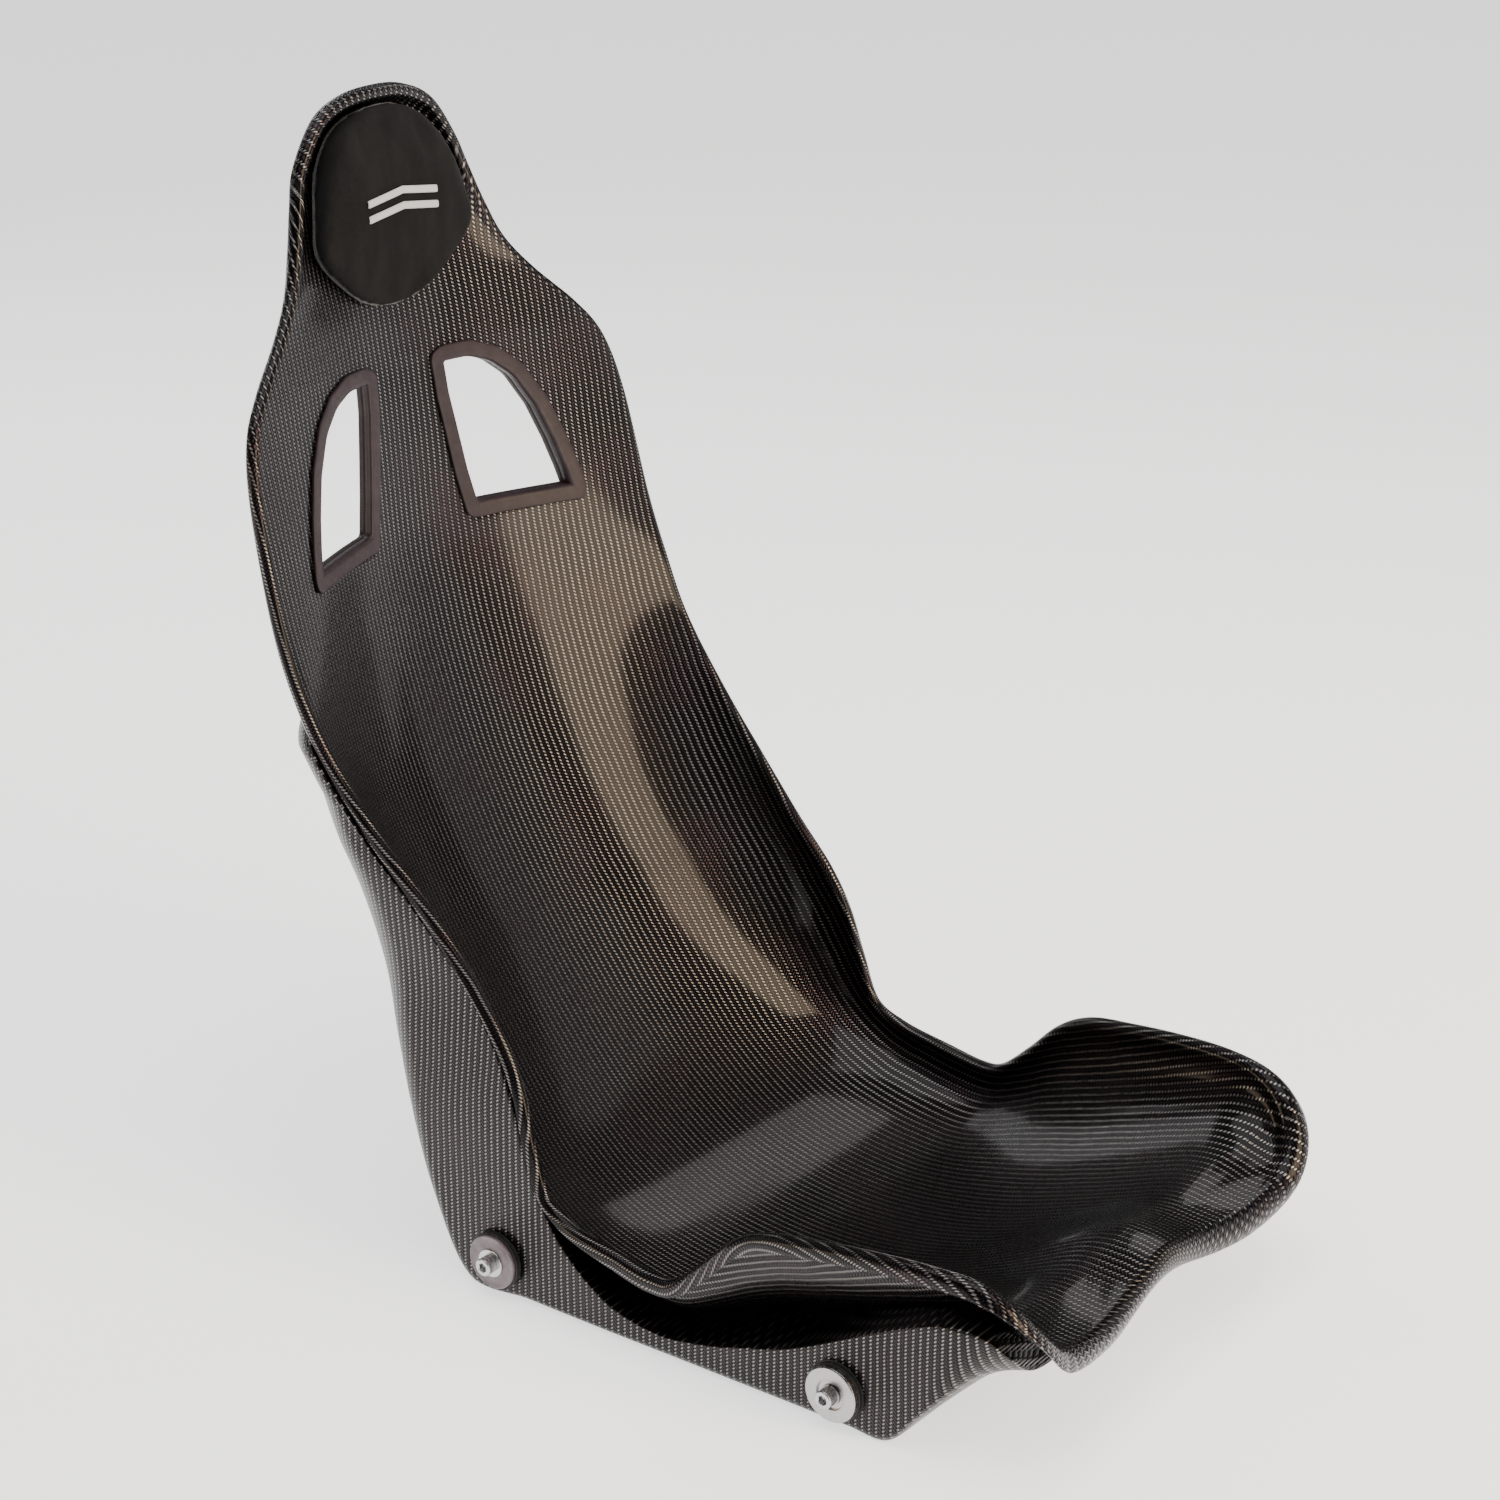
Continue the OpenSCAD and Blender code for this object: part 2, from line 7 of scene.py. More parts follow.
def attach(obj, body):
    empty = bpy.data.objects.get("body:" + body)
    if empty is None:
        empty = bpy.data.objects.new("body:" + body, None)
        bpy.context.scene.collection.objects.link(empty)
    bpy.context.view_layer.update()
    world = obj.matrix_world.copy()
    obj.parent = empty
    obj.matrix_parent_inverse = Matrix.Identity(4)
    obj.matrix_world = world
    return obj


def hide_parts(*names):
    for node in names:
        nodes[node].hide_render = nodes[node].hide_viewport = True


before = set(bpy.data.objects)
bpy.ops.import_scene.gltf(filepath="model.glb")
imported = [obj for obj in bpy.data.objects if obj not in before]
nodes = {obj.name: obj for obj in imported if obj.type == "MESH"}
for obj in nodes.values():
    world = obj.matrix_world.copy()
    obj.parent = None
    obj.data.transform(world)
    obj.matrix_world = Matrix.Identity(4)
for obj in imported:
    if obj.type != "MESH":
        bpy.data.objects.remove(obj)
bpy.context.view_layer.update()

# Woven carbon racing seat. Shapes are worked out in millimetres and written into the meshes in metres.
mm = 0.001
print("frame loaded,", len(nodes), "CAD nodes")

# small tools for shapes


def unit(v):
    # each vector divided by its own length
    return v / np.maximum(np.linalg.norm(v, axis=-1, keepdims=True), 1e-9)


def ease(v):
    # smooth step, 3w^2 - 2w^3 with w held between 0 and 1
    w = np.clip(v, 0, 1)
    return w * w * (3 - 2 * w)


def mix(a, b, k):
    # straight blend from a to b
    return a * (1 - k) + b * k


def stripFaces(index, closedRows=False, closedCols=False):
    # four corners for each cell of a grid of point numbers, wrapping round where the grid is closed
    if closedRows:
        index = np.vstack([index, index[:1]])
    if closedCols:
        index = np.hstack([index, index[:, :1]])
    return np.stack([index[:-1, :-1], index[1:, :-1], index[1:, 1:], index[:-1, 1:]], -1).reshape(-1, 4)


def makePiece(name, points, faces, material, corners=None, smooth=True):
    # points in millimetres; faces as one or more arrays of corner numbers; corners holds a UV for each
    # face corner
    mesh = bpy.data.meshes.new(name)
    faceLists = faces if isinstance(faces, list) else [faces]
    polygons = [f for block in faceLists for f in block.tolist()]
    mesh.from_pydata((np.asarray(points, float) * mm).tolist(), [], polygons)
    if corners is not None:
        layer = mesh.uv_layers.new(name="weave")
        layer.data.foreach_set("uv", (np.asarray(corners, float) * mm).astype(np.float32).ravel())
    mesh.polygons.foreach_set("use_smooth", np.full(len(mesh.polygons), smooth))
    mesh.update()
    piece = bpy.data.objects.new(name, mesh)
    bpy.context.scene.collection.objects.link(piece)
    mesh.materials.append(material)
    return piece


def addSolidify(piece, thickness):
    # wall grown away from the side that the faces show
    wall = piece.modifiers.new("wall", "SOLIDIFY")
    wall.thickness = thickness * mm
    wall.offset = -1
    return wall


def addBevel(piece, width, segments=3, angle=35):
    edge = piece.modifiers.new("edges", "BEVEL")
    edge.width = width * mm
    edge.segments = segments
    edge.limit_method = "ANGLE"
    edge.angle_limit = math.radians(angle)
    edge.harden_normals = False
    return edge


def addSubdivision(piece, levels):
    smoothing = piece.modifiers.new("smoothing", "SUBSURF")
    smoothing.levels = levels
    smoothing.render_levels = levels
    return smoothing


def settle(piece):
    # what the modifiers make becomes the piece's own mesh
    graph = bpy.context.evaluated_depsgraph_get()
    graph.update()
    old = piece.data
    piece.data = bpy.data.meshes.new_from_object(piece.evaluated_get(graph), depsgraph=graph)
    piece.modifiers.clear()
    bpy.data.meshes.remove(old)
    return piece


def finishPiece(piece, body, slotName, *replaced):
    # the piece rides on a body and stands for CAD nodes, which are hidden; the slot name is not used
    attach(piece, body)
    if replaced:
        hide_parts(*replaced)
    return piece


# small tools for materials


def blankMaterial(name, values):
    # a principled shader whose constant sockets are set straight from a dictionary
    material = bpy.data.materials.new(name)
    material.use_nodes = True
    shader = material.node_tree.nodes["Principled BSDF"]
    for socket, value in values.items():
        shader.inputs[socket].default_value = value
    return material, material.node_tree, shader


def addNode(tree, kind, inputs=None, **settings):
    node = tree.nodes.new(kind)
    for key, value in settings.items():
        setattr(node, key, value)
    for key, value in (inputs or {}).items():
        plug(tree, value, node.inputs[key])
    return node


def plug(tree, value, socket):
    # a socket is linked, a number or colour is written in
    if isinstance(value, bpy.types.NodeSocket):
        tree.links.new(value, socket)
    else:
        socket.default_value = value


def calc(tree, operation, a, b=0.0, c=0.0):
    # one arithmetic step on sockets or numbers
    node = addNode(tree, "ShaderNodeMath", {0: a, 1: b}, operation=operation)
    if operation in ("WRAP", "MULTIPLY_ADD", "SMOOTH_MIN", "COMPARE"):
        plug(tree, c, node.inputs[2])
    return node.outputs[0]


def vectorCalc(tree, operation, a, b):
    return addNode(tree, "ShaderNodeVectorMath", {0: a, 1: b}, operation=operation).outputs[0]


def colourMix(tree, factor, a, b):
    node = addNode(tree, "ShaderNodeMix", data_type="RGBA")
    plug(tree, factor, node.inputs[0])
    plug(tree, a, node.inputs[6])
    plug(tree, b, node.inputs[7])
    return node.outputs[2]


def ramp(tree, value, low, high, toLow=0.0, toHigh=1.0):
    node = addNode(tree, "ShaderNodeMapRange", {0: value, 1: low, 2: high, 3: toLow, 4: toHigh},
                   interpolation_type="SMOOTHSTEP")
    return node.outputs[0]


def noise(tree, vector, scale, detail=3.0, roughness=0.55):
    node = addNode(tree, "ShaderNodeTexNoise", {"Vector": vector, "Scale": scale, "Detail": detail,
                                               "Roughness": roughness})
    return node.outputs["Fac"]


def bump(tree, height, distance, strength=1.0):
    node = addNode(tree, "ShaderNodeBump", {"Height": height, "Distance": distance, "Strength": strength})
    if "Filter Width" in node.inputs:
        node.inputs["Filter Width"].default_value = 0.1
    return node.outputs[0]


def objectPoint(tree):
    return addNode(tree, "ShaderNodeTexCoord").outputs["Object"]


# carbon cloth under clear lacquer

cloth = {
    "towWidth": 1.95 * mm,      # one flat bundle of fibres
    "crown": 0.36 * mm,         # how far a bundle swells between its edges
    "dip": 0.12 * mm,           # fall at the two ends of each float
    "fibre": 0.03 * mm,         # fine grooves along the fibres
    "bias": 45.0,               # the cloth lies on the bias, so its twill lines run straight down
    "wander": 1.1,              # how far the bundles stray from a true grid, in bundle widths
    # painted highlight: the warp tone is light and the weft tone near-black, though both bundles are the same
    # black fibre
    "warpHighlightTone": (0.27, 0.25, 0.245, 1.0),
    "weftTone": (0.012, 0.010, 0.011, 1.0),
    "plumTone": (0.120, 0.062, 0.082, 1.0),
    "resinTone": (0.0012, 0.001, 0.0012, 1.0),
}


def carbonMaterial(name, shine):
    # 2x2 twill: over a grid of bundles a and b, (floor a + floor b) mod 4 picks the bundle on top;
    # each float is a long rounded hump, two bundles long and one wide
    material, tree, shader = blankMaterial(name, {
        "Metallic": shine["metal"], "Roughness": shine["rough"], "IOR": 1.5,
        "Coat Weight": shine["coat"], "Coat Roughness": 0.12, "Coat IOR": 1.5})
    uv = addNode(tree, "ShaderNodeUVMap", uv_map="weave").outputs[0]
    turned = addNode(tree, "ShaderNodeMapping", {
        "Vector": uv, "Rotation": (0, 0, math.radians(cloth["bias"])),
        "Scale": (1 / cloth["towWidth"],) * 3}, vector_type="POINT").outputs[0]
    drift = addNode(tree, "ShaderNodeTexNoise", {"Vector": uv, "Scale": 22.0, "Detail": 1.0}).outputs["Color"]
    centred = vectorCalc(tree, "SUBTRACT", drift, (0.5, 0.5, 0.5))
    laid = vectorCalc(tree, "ADD", turned, vectorCalc(tree, "MULTIPLY", centred, (cloth["wander"],) * 3))
    parts = addNode(tree, "ShaderNodeSeparateXYZ", {0: laid})
    a, b = parts.outputs[0], parts.outputs[1]
    cellA, cellB = calc(tree, "FLOOR", a), calc(tree, "FLOOR", b)
    turn = calc(tree, "FLOORED_MODULO", calc(tree, "ADD", cellA, cellB), 4.0)
    warpOnTop = calc(tree, "LESS_THAN", turn, 1.5)
    warpAlong = calc(tree, "MULTIPLY", calc(tree, "FLOORED_MODULO", calc(tree, "ADD", a, cellB), 4.0), 0.5)
    weftAlong = calc(tree, "FLOORED_MODULO", calc(tree, "ADD", cellA, b), 4.0)
    weftAlong = calc(tree, "MULTIPLY", calc(tree, "SUBTRACT", weftAlong, 2.0), 0.5)

    def pick(warp, weft):
        return calc(tree, "ADD", calc(tree, "MULTIPLY", warp, warpOnTop),
                    calc(tree, "MULTIPLY", weft, calc(tree, "SUBTRACT", 1.0, warpOnTop)))

    side = pick(calc(tree, "FRACT", b), calc(tree, "FRACT", a))
    run = pick(warpAlong, weftAlong)
    # hump height: 1 - (2 side - 1)^2 across, 1 - (2 run - 1)^2 along
    acrossRise = calc(tree, "SUBTRACT", 1.0, calc(tree, "POWER", calc(tree, "ABSOLUTE", calc(
        tree, "MULTIPLY_ADD", side, 2.0, -1.0)), 2.0))
    alongRise = calc(tree, "SUBTRACT", 1.0, calc(tree, "POWER", calc(tree, "ABSOLUTE", calc(
        tree, "MULTIPLY_ADD", run, 2.0, -1.0)), 2.0))
    threads = addNode(tree, "ShaderNodeCombineXYZ", {0: calc(tree, "MULTIPLY", side, 9.0),
                      1: calc(tree, "MULTIPLY", run, 0.6), 2: calc(tree, "ADD", cellA, calc(
                          tree, "MULTIPLY", cellB, 7.3))}).outputs[0]
    strands = noise(tree, threads, 1.0, 2.0)
    height = calc(tree, "ADD", calc(tree, "MULTIPLY", acrossRise, cloth["crown"]),
                  calc(tree, "MULTIPLY", alongRise, cloth["dip"]))
    height = calc(tree, "ADD", height, calc(tree, "MULTIPLY", strands, cloth["fibre"]))
    # colour: a light tone on the warp floats, a painted highlight where lacquered bundles catch the light,
    # against the near-black weft floats; plum drifts; dark resin in the gaps
    towWithHighlight = colourMix(tree, warpOnTop, cloth["weftTone"], cloth["warpHighlightTone"])
    plumDrift = ramp(tree, noise(tree, uv, 14.0, 2.0), 0.40, 0.75, 0.0, 0.40)
    towWithHighlight = colourMix(tree, plumDrift, towWithHighlight, cloth["plumTone"])
    # painted highlight: each float's crown takes the bundle tone and its edges and ends fall to the dark
    # resin tone, so warp floats show a painted bright dot
    body = calc(tree, "MULTIPLY", ramp(tree, acrossRise, 0.40, 1.0), ramp(tree, alongRise, 0.42, 1.0))
    body = calc(tree, "MULTIPLY", body, ramp(tree, strands, 0.2, 0.8, 0.65, 1.0))
    plug(tree, colourMix(tree, body, cloth["resinTone"], towWithHighlight), shader.inputs["Base Color"])
    dull = ramp(tree, strands, 0.2, 0.8, shine["rough"] - 0.05, shine["rough"] + 0.06)
    plug(tree, dull, shader.inputs["Roughness"])
    plug(tree, bump(tree, height, 1.0, shine["relief"]), shader.inputs["Normal"])
    # the lacquer lies flat, with a faint slow ripple
    ripple = noise(tree, objectPoint(tree), 28.0, 1.0)
    plug(tree, bump(tree, ripple, 0.0004, 0.35), shader.inputs["Coat Normal"])
    return material


# bucket surface

bucket = {
    "half": 201.0,              # middle to the flat side panel
    "skin": 2.0,                # one laminate
    "skinGap": 4.0,             # free space between the two laminates behind the shoulders
    "bond": 0.15,               # glue line at the seam
    "rimRadius": 5.0,
    "lipRadius": 12.0,
    "pommelHeight": 14.0,
    "rowsPerStation": 9,
    "columns": 44,              # middle line to the rim
    "rollColumns": 12,
    "tailColumns": 2,
    "rearColumns": 60,
    "ledgeColumns": 8,          # from the side panel's top edge in to the bucket's wall
    "ledgeRise": 4.0,
}

# Stations from the crown, down one side, to the middle of the front lip:
# rim x y z, middle line y z, first handle y z, handle ratios across, wall x, wall y, wall z
stations = np.array([
    [0, 405, 780, 423, 748, 1, 14, .50, 1.00, .25, .85],
    [30, 406, 777, 423, 746, 1, 12, .50, 1.00, .25, .85],
    [54, 406, 766, 422, 741, 1, 8, .50, 1.00, .28, .75],
    [74, 404, 739, 420, 731, 0, 2, .50, .95, .35, .60],
    [83, 399, 716, 416, 714, 0, 0, .45, .92, .40, .50],
    [94, 392, 688, 410, 688, 0, 0, .42, .88, .42, .50],
    [109, 384, 660, 405, 660, 0, 0, .40, .80, .50, .50],
    [133, 374, 634, 399, 634, 0, 0, .36, .72, .60, .50],
    [165, 362, 605, 394, 605, 0, 0, .333, .667, .68, .5],
    [185, 353, 578, 390, 578, 0, 0, .333, .667, .70, .5],
    [195, 342, 535, 386, 535, 0, 0, .333, .667, .70, .5],
    [199, 324, 460, 380, 460, 0, 0, .333, .667, .70, .5],
    [199, 307, 412, 369, 412, 0, 0, .36, .72, .64, .5],
    [195, 285, 367, 355, 366, 0, 0, .42, .80, .56, .5],
    [190, 250, 318, 336, 316, 0, 0, .50, .90, .50, .5],
    [185, 210, 271, 312, 267, 0, 0, .56, .96, .48, .5],
    [184, 172, 224, 283, 218, 0, 0, .60, 1.0, .48, .5],
    [187, 144, 188, 256, 180, 0, 0, .62, 1.0, .50, .5],
    [189, 128, 158, 231, 147, 0, 0, .64, 1.0, .50, .5],
    [192, 117, 122, 199, 109, 0, 0, .68, 1.0, .50, .5],
    [193, 103, 86, 158, 68, 0, 0, .78, 1.0, .50, .5],
    [195, 78, 71, 108, 34, 0, 0, .86, 1.0, .50, .5],
    [195, 40, 62.5, 56, 18, 0, 0, .90, 1.0, .50, .5],
    [195, 6, 56.5, 14, 13, 0, 0, .92, 1.0, .50, .5],
    [195, -16, 60.5, -10, 12.5, 0, 0, .91, 1.0, .50, .5],
    [195, -42, 83, -36, 14, 0, 0, .88, 1.0, .50, .5],
    [196, -66, 107, -60, 17, 0, 0, .84, 1.0, .50, .5],
    [196, -90, 119.5, -86, 22, 0, 0, .80, 1.0, .50, .5],
    [194, -122, 124.5, -117, 31, 0, 0, .77, 1.01, .50, .5],
    [191, -165, 129, -154, 44, 0, 0, .74, 1.02, .50, .5],
    [187, -208, 131, -190, 58, 0, 0, .70, 1.02, .50, .5],
    [181, -237, 128, -212, 67, -1, 1, .66, 1.02, .55, .5],
    [175, -256, 116, -226, 72, -2, 1, .62, 1.03, .60, .5],
    [165, -268, 97, -235, 74, -3, 1, .58, 1.03, .65, .5],
    [143, -275, 81, -240, 75, -4, 0, .52, 1.00, .65, .5],
    [105, -276, 75, -243, 75, -6, 0, .42, .90, .65, .5],
    [58, -271, 74, -245, 75, -8, 0, .36, .75, .65, .5],
    [0, -268, 72, -246, 75, -9, 0, .33, .60, .65, .5],
])

# Rear shell at the same stations from the shoulders down:
# seam x y z, middle line y z, corner radius, corner lift, share of box, corner pull forwards
boxFirst = 11
boxStations = np.array([
    [204, 328, 459, 390, 460, 90, 0, 0, 0],
    [201, 319, 411, 379, 412, 90, 0, .25, 16],
    [204.5, 297, 367, 366, 366, 80, 0, 1, 22],
    [201, 259, 318, 347, 318, 64, 0, 1, 29],
    [196, 216, 271, 325, 267, 50, 0, 1, 39],
    [192, 176, 224, 297, 214, 38, 0, 1, 32],
    [195, 148, 188, 272, 166, 30, 0, 1, 21],
    [199, 132, 158, 246, 118, 24, 0, 1, 11],
    [201, 120, 122, 216, 57, 16, 0, 1, 4],
    [201, 106, 85, 177, 0, 11, 0, 1, 0],
    [201, 84, 52, 122, 0, 9, 0, 1, 0],
    [201, 46, 24, 62, 0, 8, 0, 1, 0],
    [201, 6, 16, 14, 0, 8, 0, 1, 0],
    [201, -17, 18, -12, 0, 8, 0, 1, 0],
    [201, -45, 24, -38, 0, 8, 0, 1, 0],
    [201, -70, 32, -64, 0, 8, 0, 1, 0],
    [201, -95, 40, -90, 0, 8, 0, 1, 0],
    [201, -126, 54, -118, 0, 8, 0, 1, 0],
    [201, -170, 78, -152, 0, 8, 0, 1, 0],
    [201, -212, 98, -182, 0, 9, 0, 1, 0],
    [200, -238, 104, -205, 18, 11, 6, 1, 0],
    [193, -255, 98, -222, 32, 14, 10, 1, 0],
    [179, -265, 82, -234, 41, 20, 12, 1, 0],
    [158, -268, 66, -243, 47, 30, 8, 1, 0],
    [118, -266, 60, -248, 50, 40, 3, 1, 0],
    [66, -262, 60, -251, 51, 50, 0, 1, 0],
    [0, -260, 60, -253, 52, 50, 0, 1, 0],
])
last = len(stations) - 1


def looped(table):
    # the table with three mirrored rows added at each end, so that it reads as one closed loop
    flip = np.ones(table.shape[1])
    flip[0] = -1
    return np.vstack([table[3:0:-1] * flip, table, table[-2:-5:-1] * flip])


stationLoop = looped(stations)
boxLoop = looped(np.vstack([np.repeat(boxStations[:1], boxFirst, 0), boxStations]))


def blendFour(a, b, c, d, f):
    # cubic from b to c whose slopes come from the neighbours a and d
    curve = 2 * b + (c - a) * f
    curve = curve + (2 * a - 5 * b + 4 * c - d) * f ** 2
    return 0.5 * (curve + (3 * b - a - 3 * c + d) * f ** 3)


def tableAt(loop, u):
    # cubic through four neighbouring rows of a table
    k = np.floor(u).astype(int)
    f = (u - k)[..., None]
    a, b, c, d = (loop[k + i] for i in (2, 3, 4, 5))
    return blendFour(a, b, c, d, f)


def handles(u):
    # the four control points of the cross curve: middle line, first handle, wall handle, rim
    r = tableAt(stationLoop, u)
    zero = np.zeros_like(r[..., 0])
    middle = np.stack([zero, r[..., 3], r[..., 4]], -1)
    base = np.stack([r[..., 7] * r[..., 0], r[..., 3] + r[..., 5], r[..., 4] + r[..., 6]], -1)
    wall = np.stack([r[..., 8] * r[..., 0], mix(r[..., 3], r[..., 1], r[..., 9]),
                     mix(r[..., 4], r[..., 2], r[..., 10])], -1)
    return middle, base, wall, r[..., :3]


def across(u, t):
    # cubic Bezier from the middle line to the rim
    middle, base, wall, rim = handles(u)
    t = np.asarray(t, float)[..., None]
    s = 1 - t
    return s ** 3 * middle + 3 * s * s * t * base + 3 * s * t * t * wall + t ** 3 * rim


slopeStep = 0.02


def facing(u, t):
    # unit cross product of the two slopes, pointing to the driver
    q = np.maximum(t, slopeStep)
    n = np.cross(across(u + slopeStep, q) - across(u - slopeStep, q),
                 across(u, q + slopeStep) - across(u, q - slopeStep))
    n[..., 0] *= t >= 0.01
    return unit(n)


def pommel(p):
    # the rise between the leg troughs: a bell across, an ease towards the lip
    rise = bucket["pommelHeight"] * np.exp(-(p[..., 0] / 45) ** 2) * ease((-p[..., 1] - 110) / 130)
    return np.stack([np.zeros_like(rise), np.zeros_like(rise), rise], -1)


def rimFrame(u):
    # along the rim, past its edge, and out behind it
    rimLine = unit(handles(u + slopeStep)[3] - handles(u - slopeStep)[3])
    _, _, wall, rim = handles(u)
    raw = rim - wall
    past = unit(raw - (raw * rimLine).sum(-1, keepdims=True) * rimLine)
    return rimLine, past, np.cross(past, rimLine)


def frontSurface(u, s):
    # s from 0 to 1 crosses the bucket, 1 to 2 turns round the rolled rim, 2 to 3 runs along its straight end
    inside = across(u, np.minimum(s, 1))
    _, past, behind = rimFrame(u)
    low, lip = ease((u - 20) / 3)[..., None], ease((u - last + 7) / 4)[..., None]
    radius = bucket["rimRadius"] + 1.5 * low + (bucket["lipRadius"] - bucket["rimRadius"] - 1.5) * lip
    angle = np.radians(155 + 25 * low - 72 * lip) * np.clip(s - 1, 0, 1)[..., None]
    tail = (3.5 + 1.5 * low - 3 * lip) * np.clip(s - 2, 0, 1)[..., None]
    turned = (handles(u)[3] + radius * behind + radius * (np.sin(angle) * past - np.cos(angle) * behind)
              + tail * (np.cos(angle) * past + np.sin(angle) * behind))
    p = np.where((s <= 1)[..., None], inside, turned)
    return p + pommel(p)


def boxPath(q, t):
    # flat back or base, a quarter circle at the corner, then the side panel up to the seam
    low = np.stack([np.zeros_like(t), q[..., 3], q[..., 4]], -1)
    rise = np.stack([np.zeros_like(t), q[..., 1] - q[..., 3], q[..., 2] - q[..., 4]], -1)
    tall = np.maximum(np.linalg.norm(rise, axis=-1), 1)
    wide = bucket["half"] * np.clip(q[..., 0] / 199.5, 0, 1)
    r = np.maximum(np.minimum(np.minimum(q[..., 5], 0.9 * wide), 0.85 * tall), 0.2)
    turn = np.radians(90) * np.clip((t - 0.35) / 0.3, 0, 1)
    out = np.where(t < 0.35, t / 0.35 * (wide - r), wide - r + r * np.sin(turn))
    climb = np.where(t < 0.65, r - r * np.cos(turn), mix(r, tall, (t - 0.65) / 0.35))
    lean = np.where(t < 0.65, 0, ((t - 0.65) / 0.35) ** 2)
    pull = np.stack([np.zeros_like(t), -q[..., 8], q[..., 6]], -1)
    share = np.minimum(out / np.maximum(wide, 1), 1) ** 2 * (1 - (climb / tall) ** 2)
    sideways = np.stack([out - lean * (wide - q[..., 0]), np.zeros_like(t), np.zeros_like(t)], -1)
    return low + sideways + climb[..., None] * rise / tall[..., None] + pull * share[..., None]


def rearSurface(u, t):
    # the bucket moved back along its own normal, turning into a box below the shoulders
    q = tableAt(boxLoop, u)
    k = np.where(u < boxFirst, 0, np.clip(q[..., 7], 0, 1))[..., None]
    depth = 2 * bucket["skin"] + mix(bucket["skinGap"], bucket["bond"], ease((t - 0.75) / 0.25))
    shrunk = t * 0.985
    behind = across(u, shrunk) - depth[..., None] * facing(u, shrunk)
    p = mix(behind, boxPath(q, t), k)
    p = p + pommel(p) * (1 - k)
    p[..., 2] = np.maximum(p[..., 2], 0)
    return p


def rearLedge(u, w):
    # from the panel's top edge a quadratic curve turns in to the outside of the bucket's wall, whose place
    # is read off the cross curve at a height just above the edge
    q = tableAt(boxLoop, u)
    seam = q[..., :3]
    tries = np.linspace(0.45, 0.97, 80)
    heights = across(u[..., None], np.broadcast_to(tries, u.shape + (80,)))[..., 2]
    share = tries[np.argmin(np.abs(heights - (seam[..., 2:3] + bucket["ledgeRise"])), -1)]
    wall = across(u, share) - (bucket["skin"] + bucket["bond"]) * facing(u, share)
    near = seam + np.array([-1.2, 0, 0.4])
    reach = (ease((u - 20.6) / 1.4) * ease((35.2 - u) / 1.2))[..., None]
    foot = mix(near, wall, reach)
    bend = seam + np.array([0, 0, 1.6]) * reach + np.array([-0.3, 0, 0.2]) * (1 - reach)
    w = w[..., None]
    return (1 - w) ** 2 * seam + 2 * w * (1 - w) * bend + w * w * foot


def weaveCoordinates(p, rim):
    # lays flat cloth on a grid of points: down the middle line by arc length, then out along each row,
    # where a step splits into a part along the seat's own profile and the rest sideways
    middle = p[:, 0]
    tangent = unit(np.gradient(middle, axis=0))
    down = np.concatenate([[0], np.cumsum(np.linalg.norm(np.diff(middle, axis=0), axis=1))])
    steps = np.diff(p, axis=1)
    length = np.linalg.norm(steps, axis=2)
    alongProfile = (steps * tangent[:, None]).sum(2)
    sideways = np.sqrt(np.maximum(length ** 2 - alongProfile ** 2, 0))
    u = np.linspace(0, last, len(p))[:, None]
    lengthwise = 1 - ease((u - 3) / 3) * ease((last - 3 - u) / 3)
    upright = np.sign(alongProfile) * np.linalg.norm(steps[..., 1:], axis=2)
    dV = mix(alongProfile, upright, lengthwise)
    dU = mix(sideways, np.abs(steps[..., 0]), lengthwise)
    lastDirection = unit(np.stack([dU[:, rim - 1], dV[:, rim - 1]], -1))
    dU[:, rim:] = lastDirection[:, :1] * length[:, rim:]
    dV[:, rim:] = lastDirection[:, 1:] * length[:, rim:]
    startV = down[:, None]
    U = np.concatenate([np.zeros((len(p), 1)), np.cumsum(dU, axis=1)], 1)
    V = np.concatenate([startV, startV + np.cumsum(dV, axis=1)], 1)
    return np.stack([U, -V], -1)


def mirroredPiece(name, grid, uv, material, keep, outwards):
    # one half of the seat and its mirror image, sharing the points on the middle plane
    rows, cols = grid.shape[:2]
    own = np.arange(rows * cols).reshape(rows, cols)
    shared = np.zeros((rows, cols), bool)
    shared[:, 0] = shared[0] = shared[-1] = True
    other = np.where(shared, own, rows * cols - 1 + np.cumsum(~shared).reshape(rows, cols))
    points = np.vstack([grid.reshape(-1, 3), (grid * [-1, 1, 1])[~shared]])
    quads, mirrored = stripFaces(own)[keep], stripFaces(other)[keep]
    source = quads
    flatUv = uv.reshape(-1, 2)
    if outwards:
        quads = quads[:, ::-1]
    else:
        mirrored, source = mirrored[:, ::-1], source[:, ::-1]
    corners = np.concatenate([flatUv[quads].reshape(-1, 2), (flatUv * [-1, 1])[source].reshape(-1, 2)])
    return makePiece(name, points, [quads, mirrored], material, corners)


# harness slots

slots = {
    "outline": np.array([[49, 464], [146, 463], [149, 472], [145, 490], [138, 514], [127, 543],
                         [110, 571], [89, 588], [66, 596], [40, 596], [29, 590], [31, 560],
                         [41, 500]], float),
    "outerRadius": 9.0,
    "innerRadius": 5.5,
    "slightRadius": 30.0,
    "flange": 12.0,
    "flangeHeight": 2.6,
    "sleeveWall": 3.0,
    "cutInset": 6.0,            # the laminate is cut back here, under the flange
    "cornerSteps": 10,
    "sideSteps": 12,
}


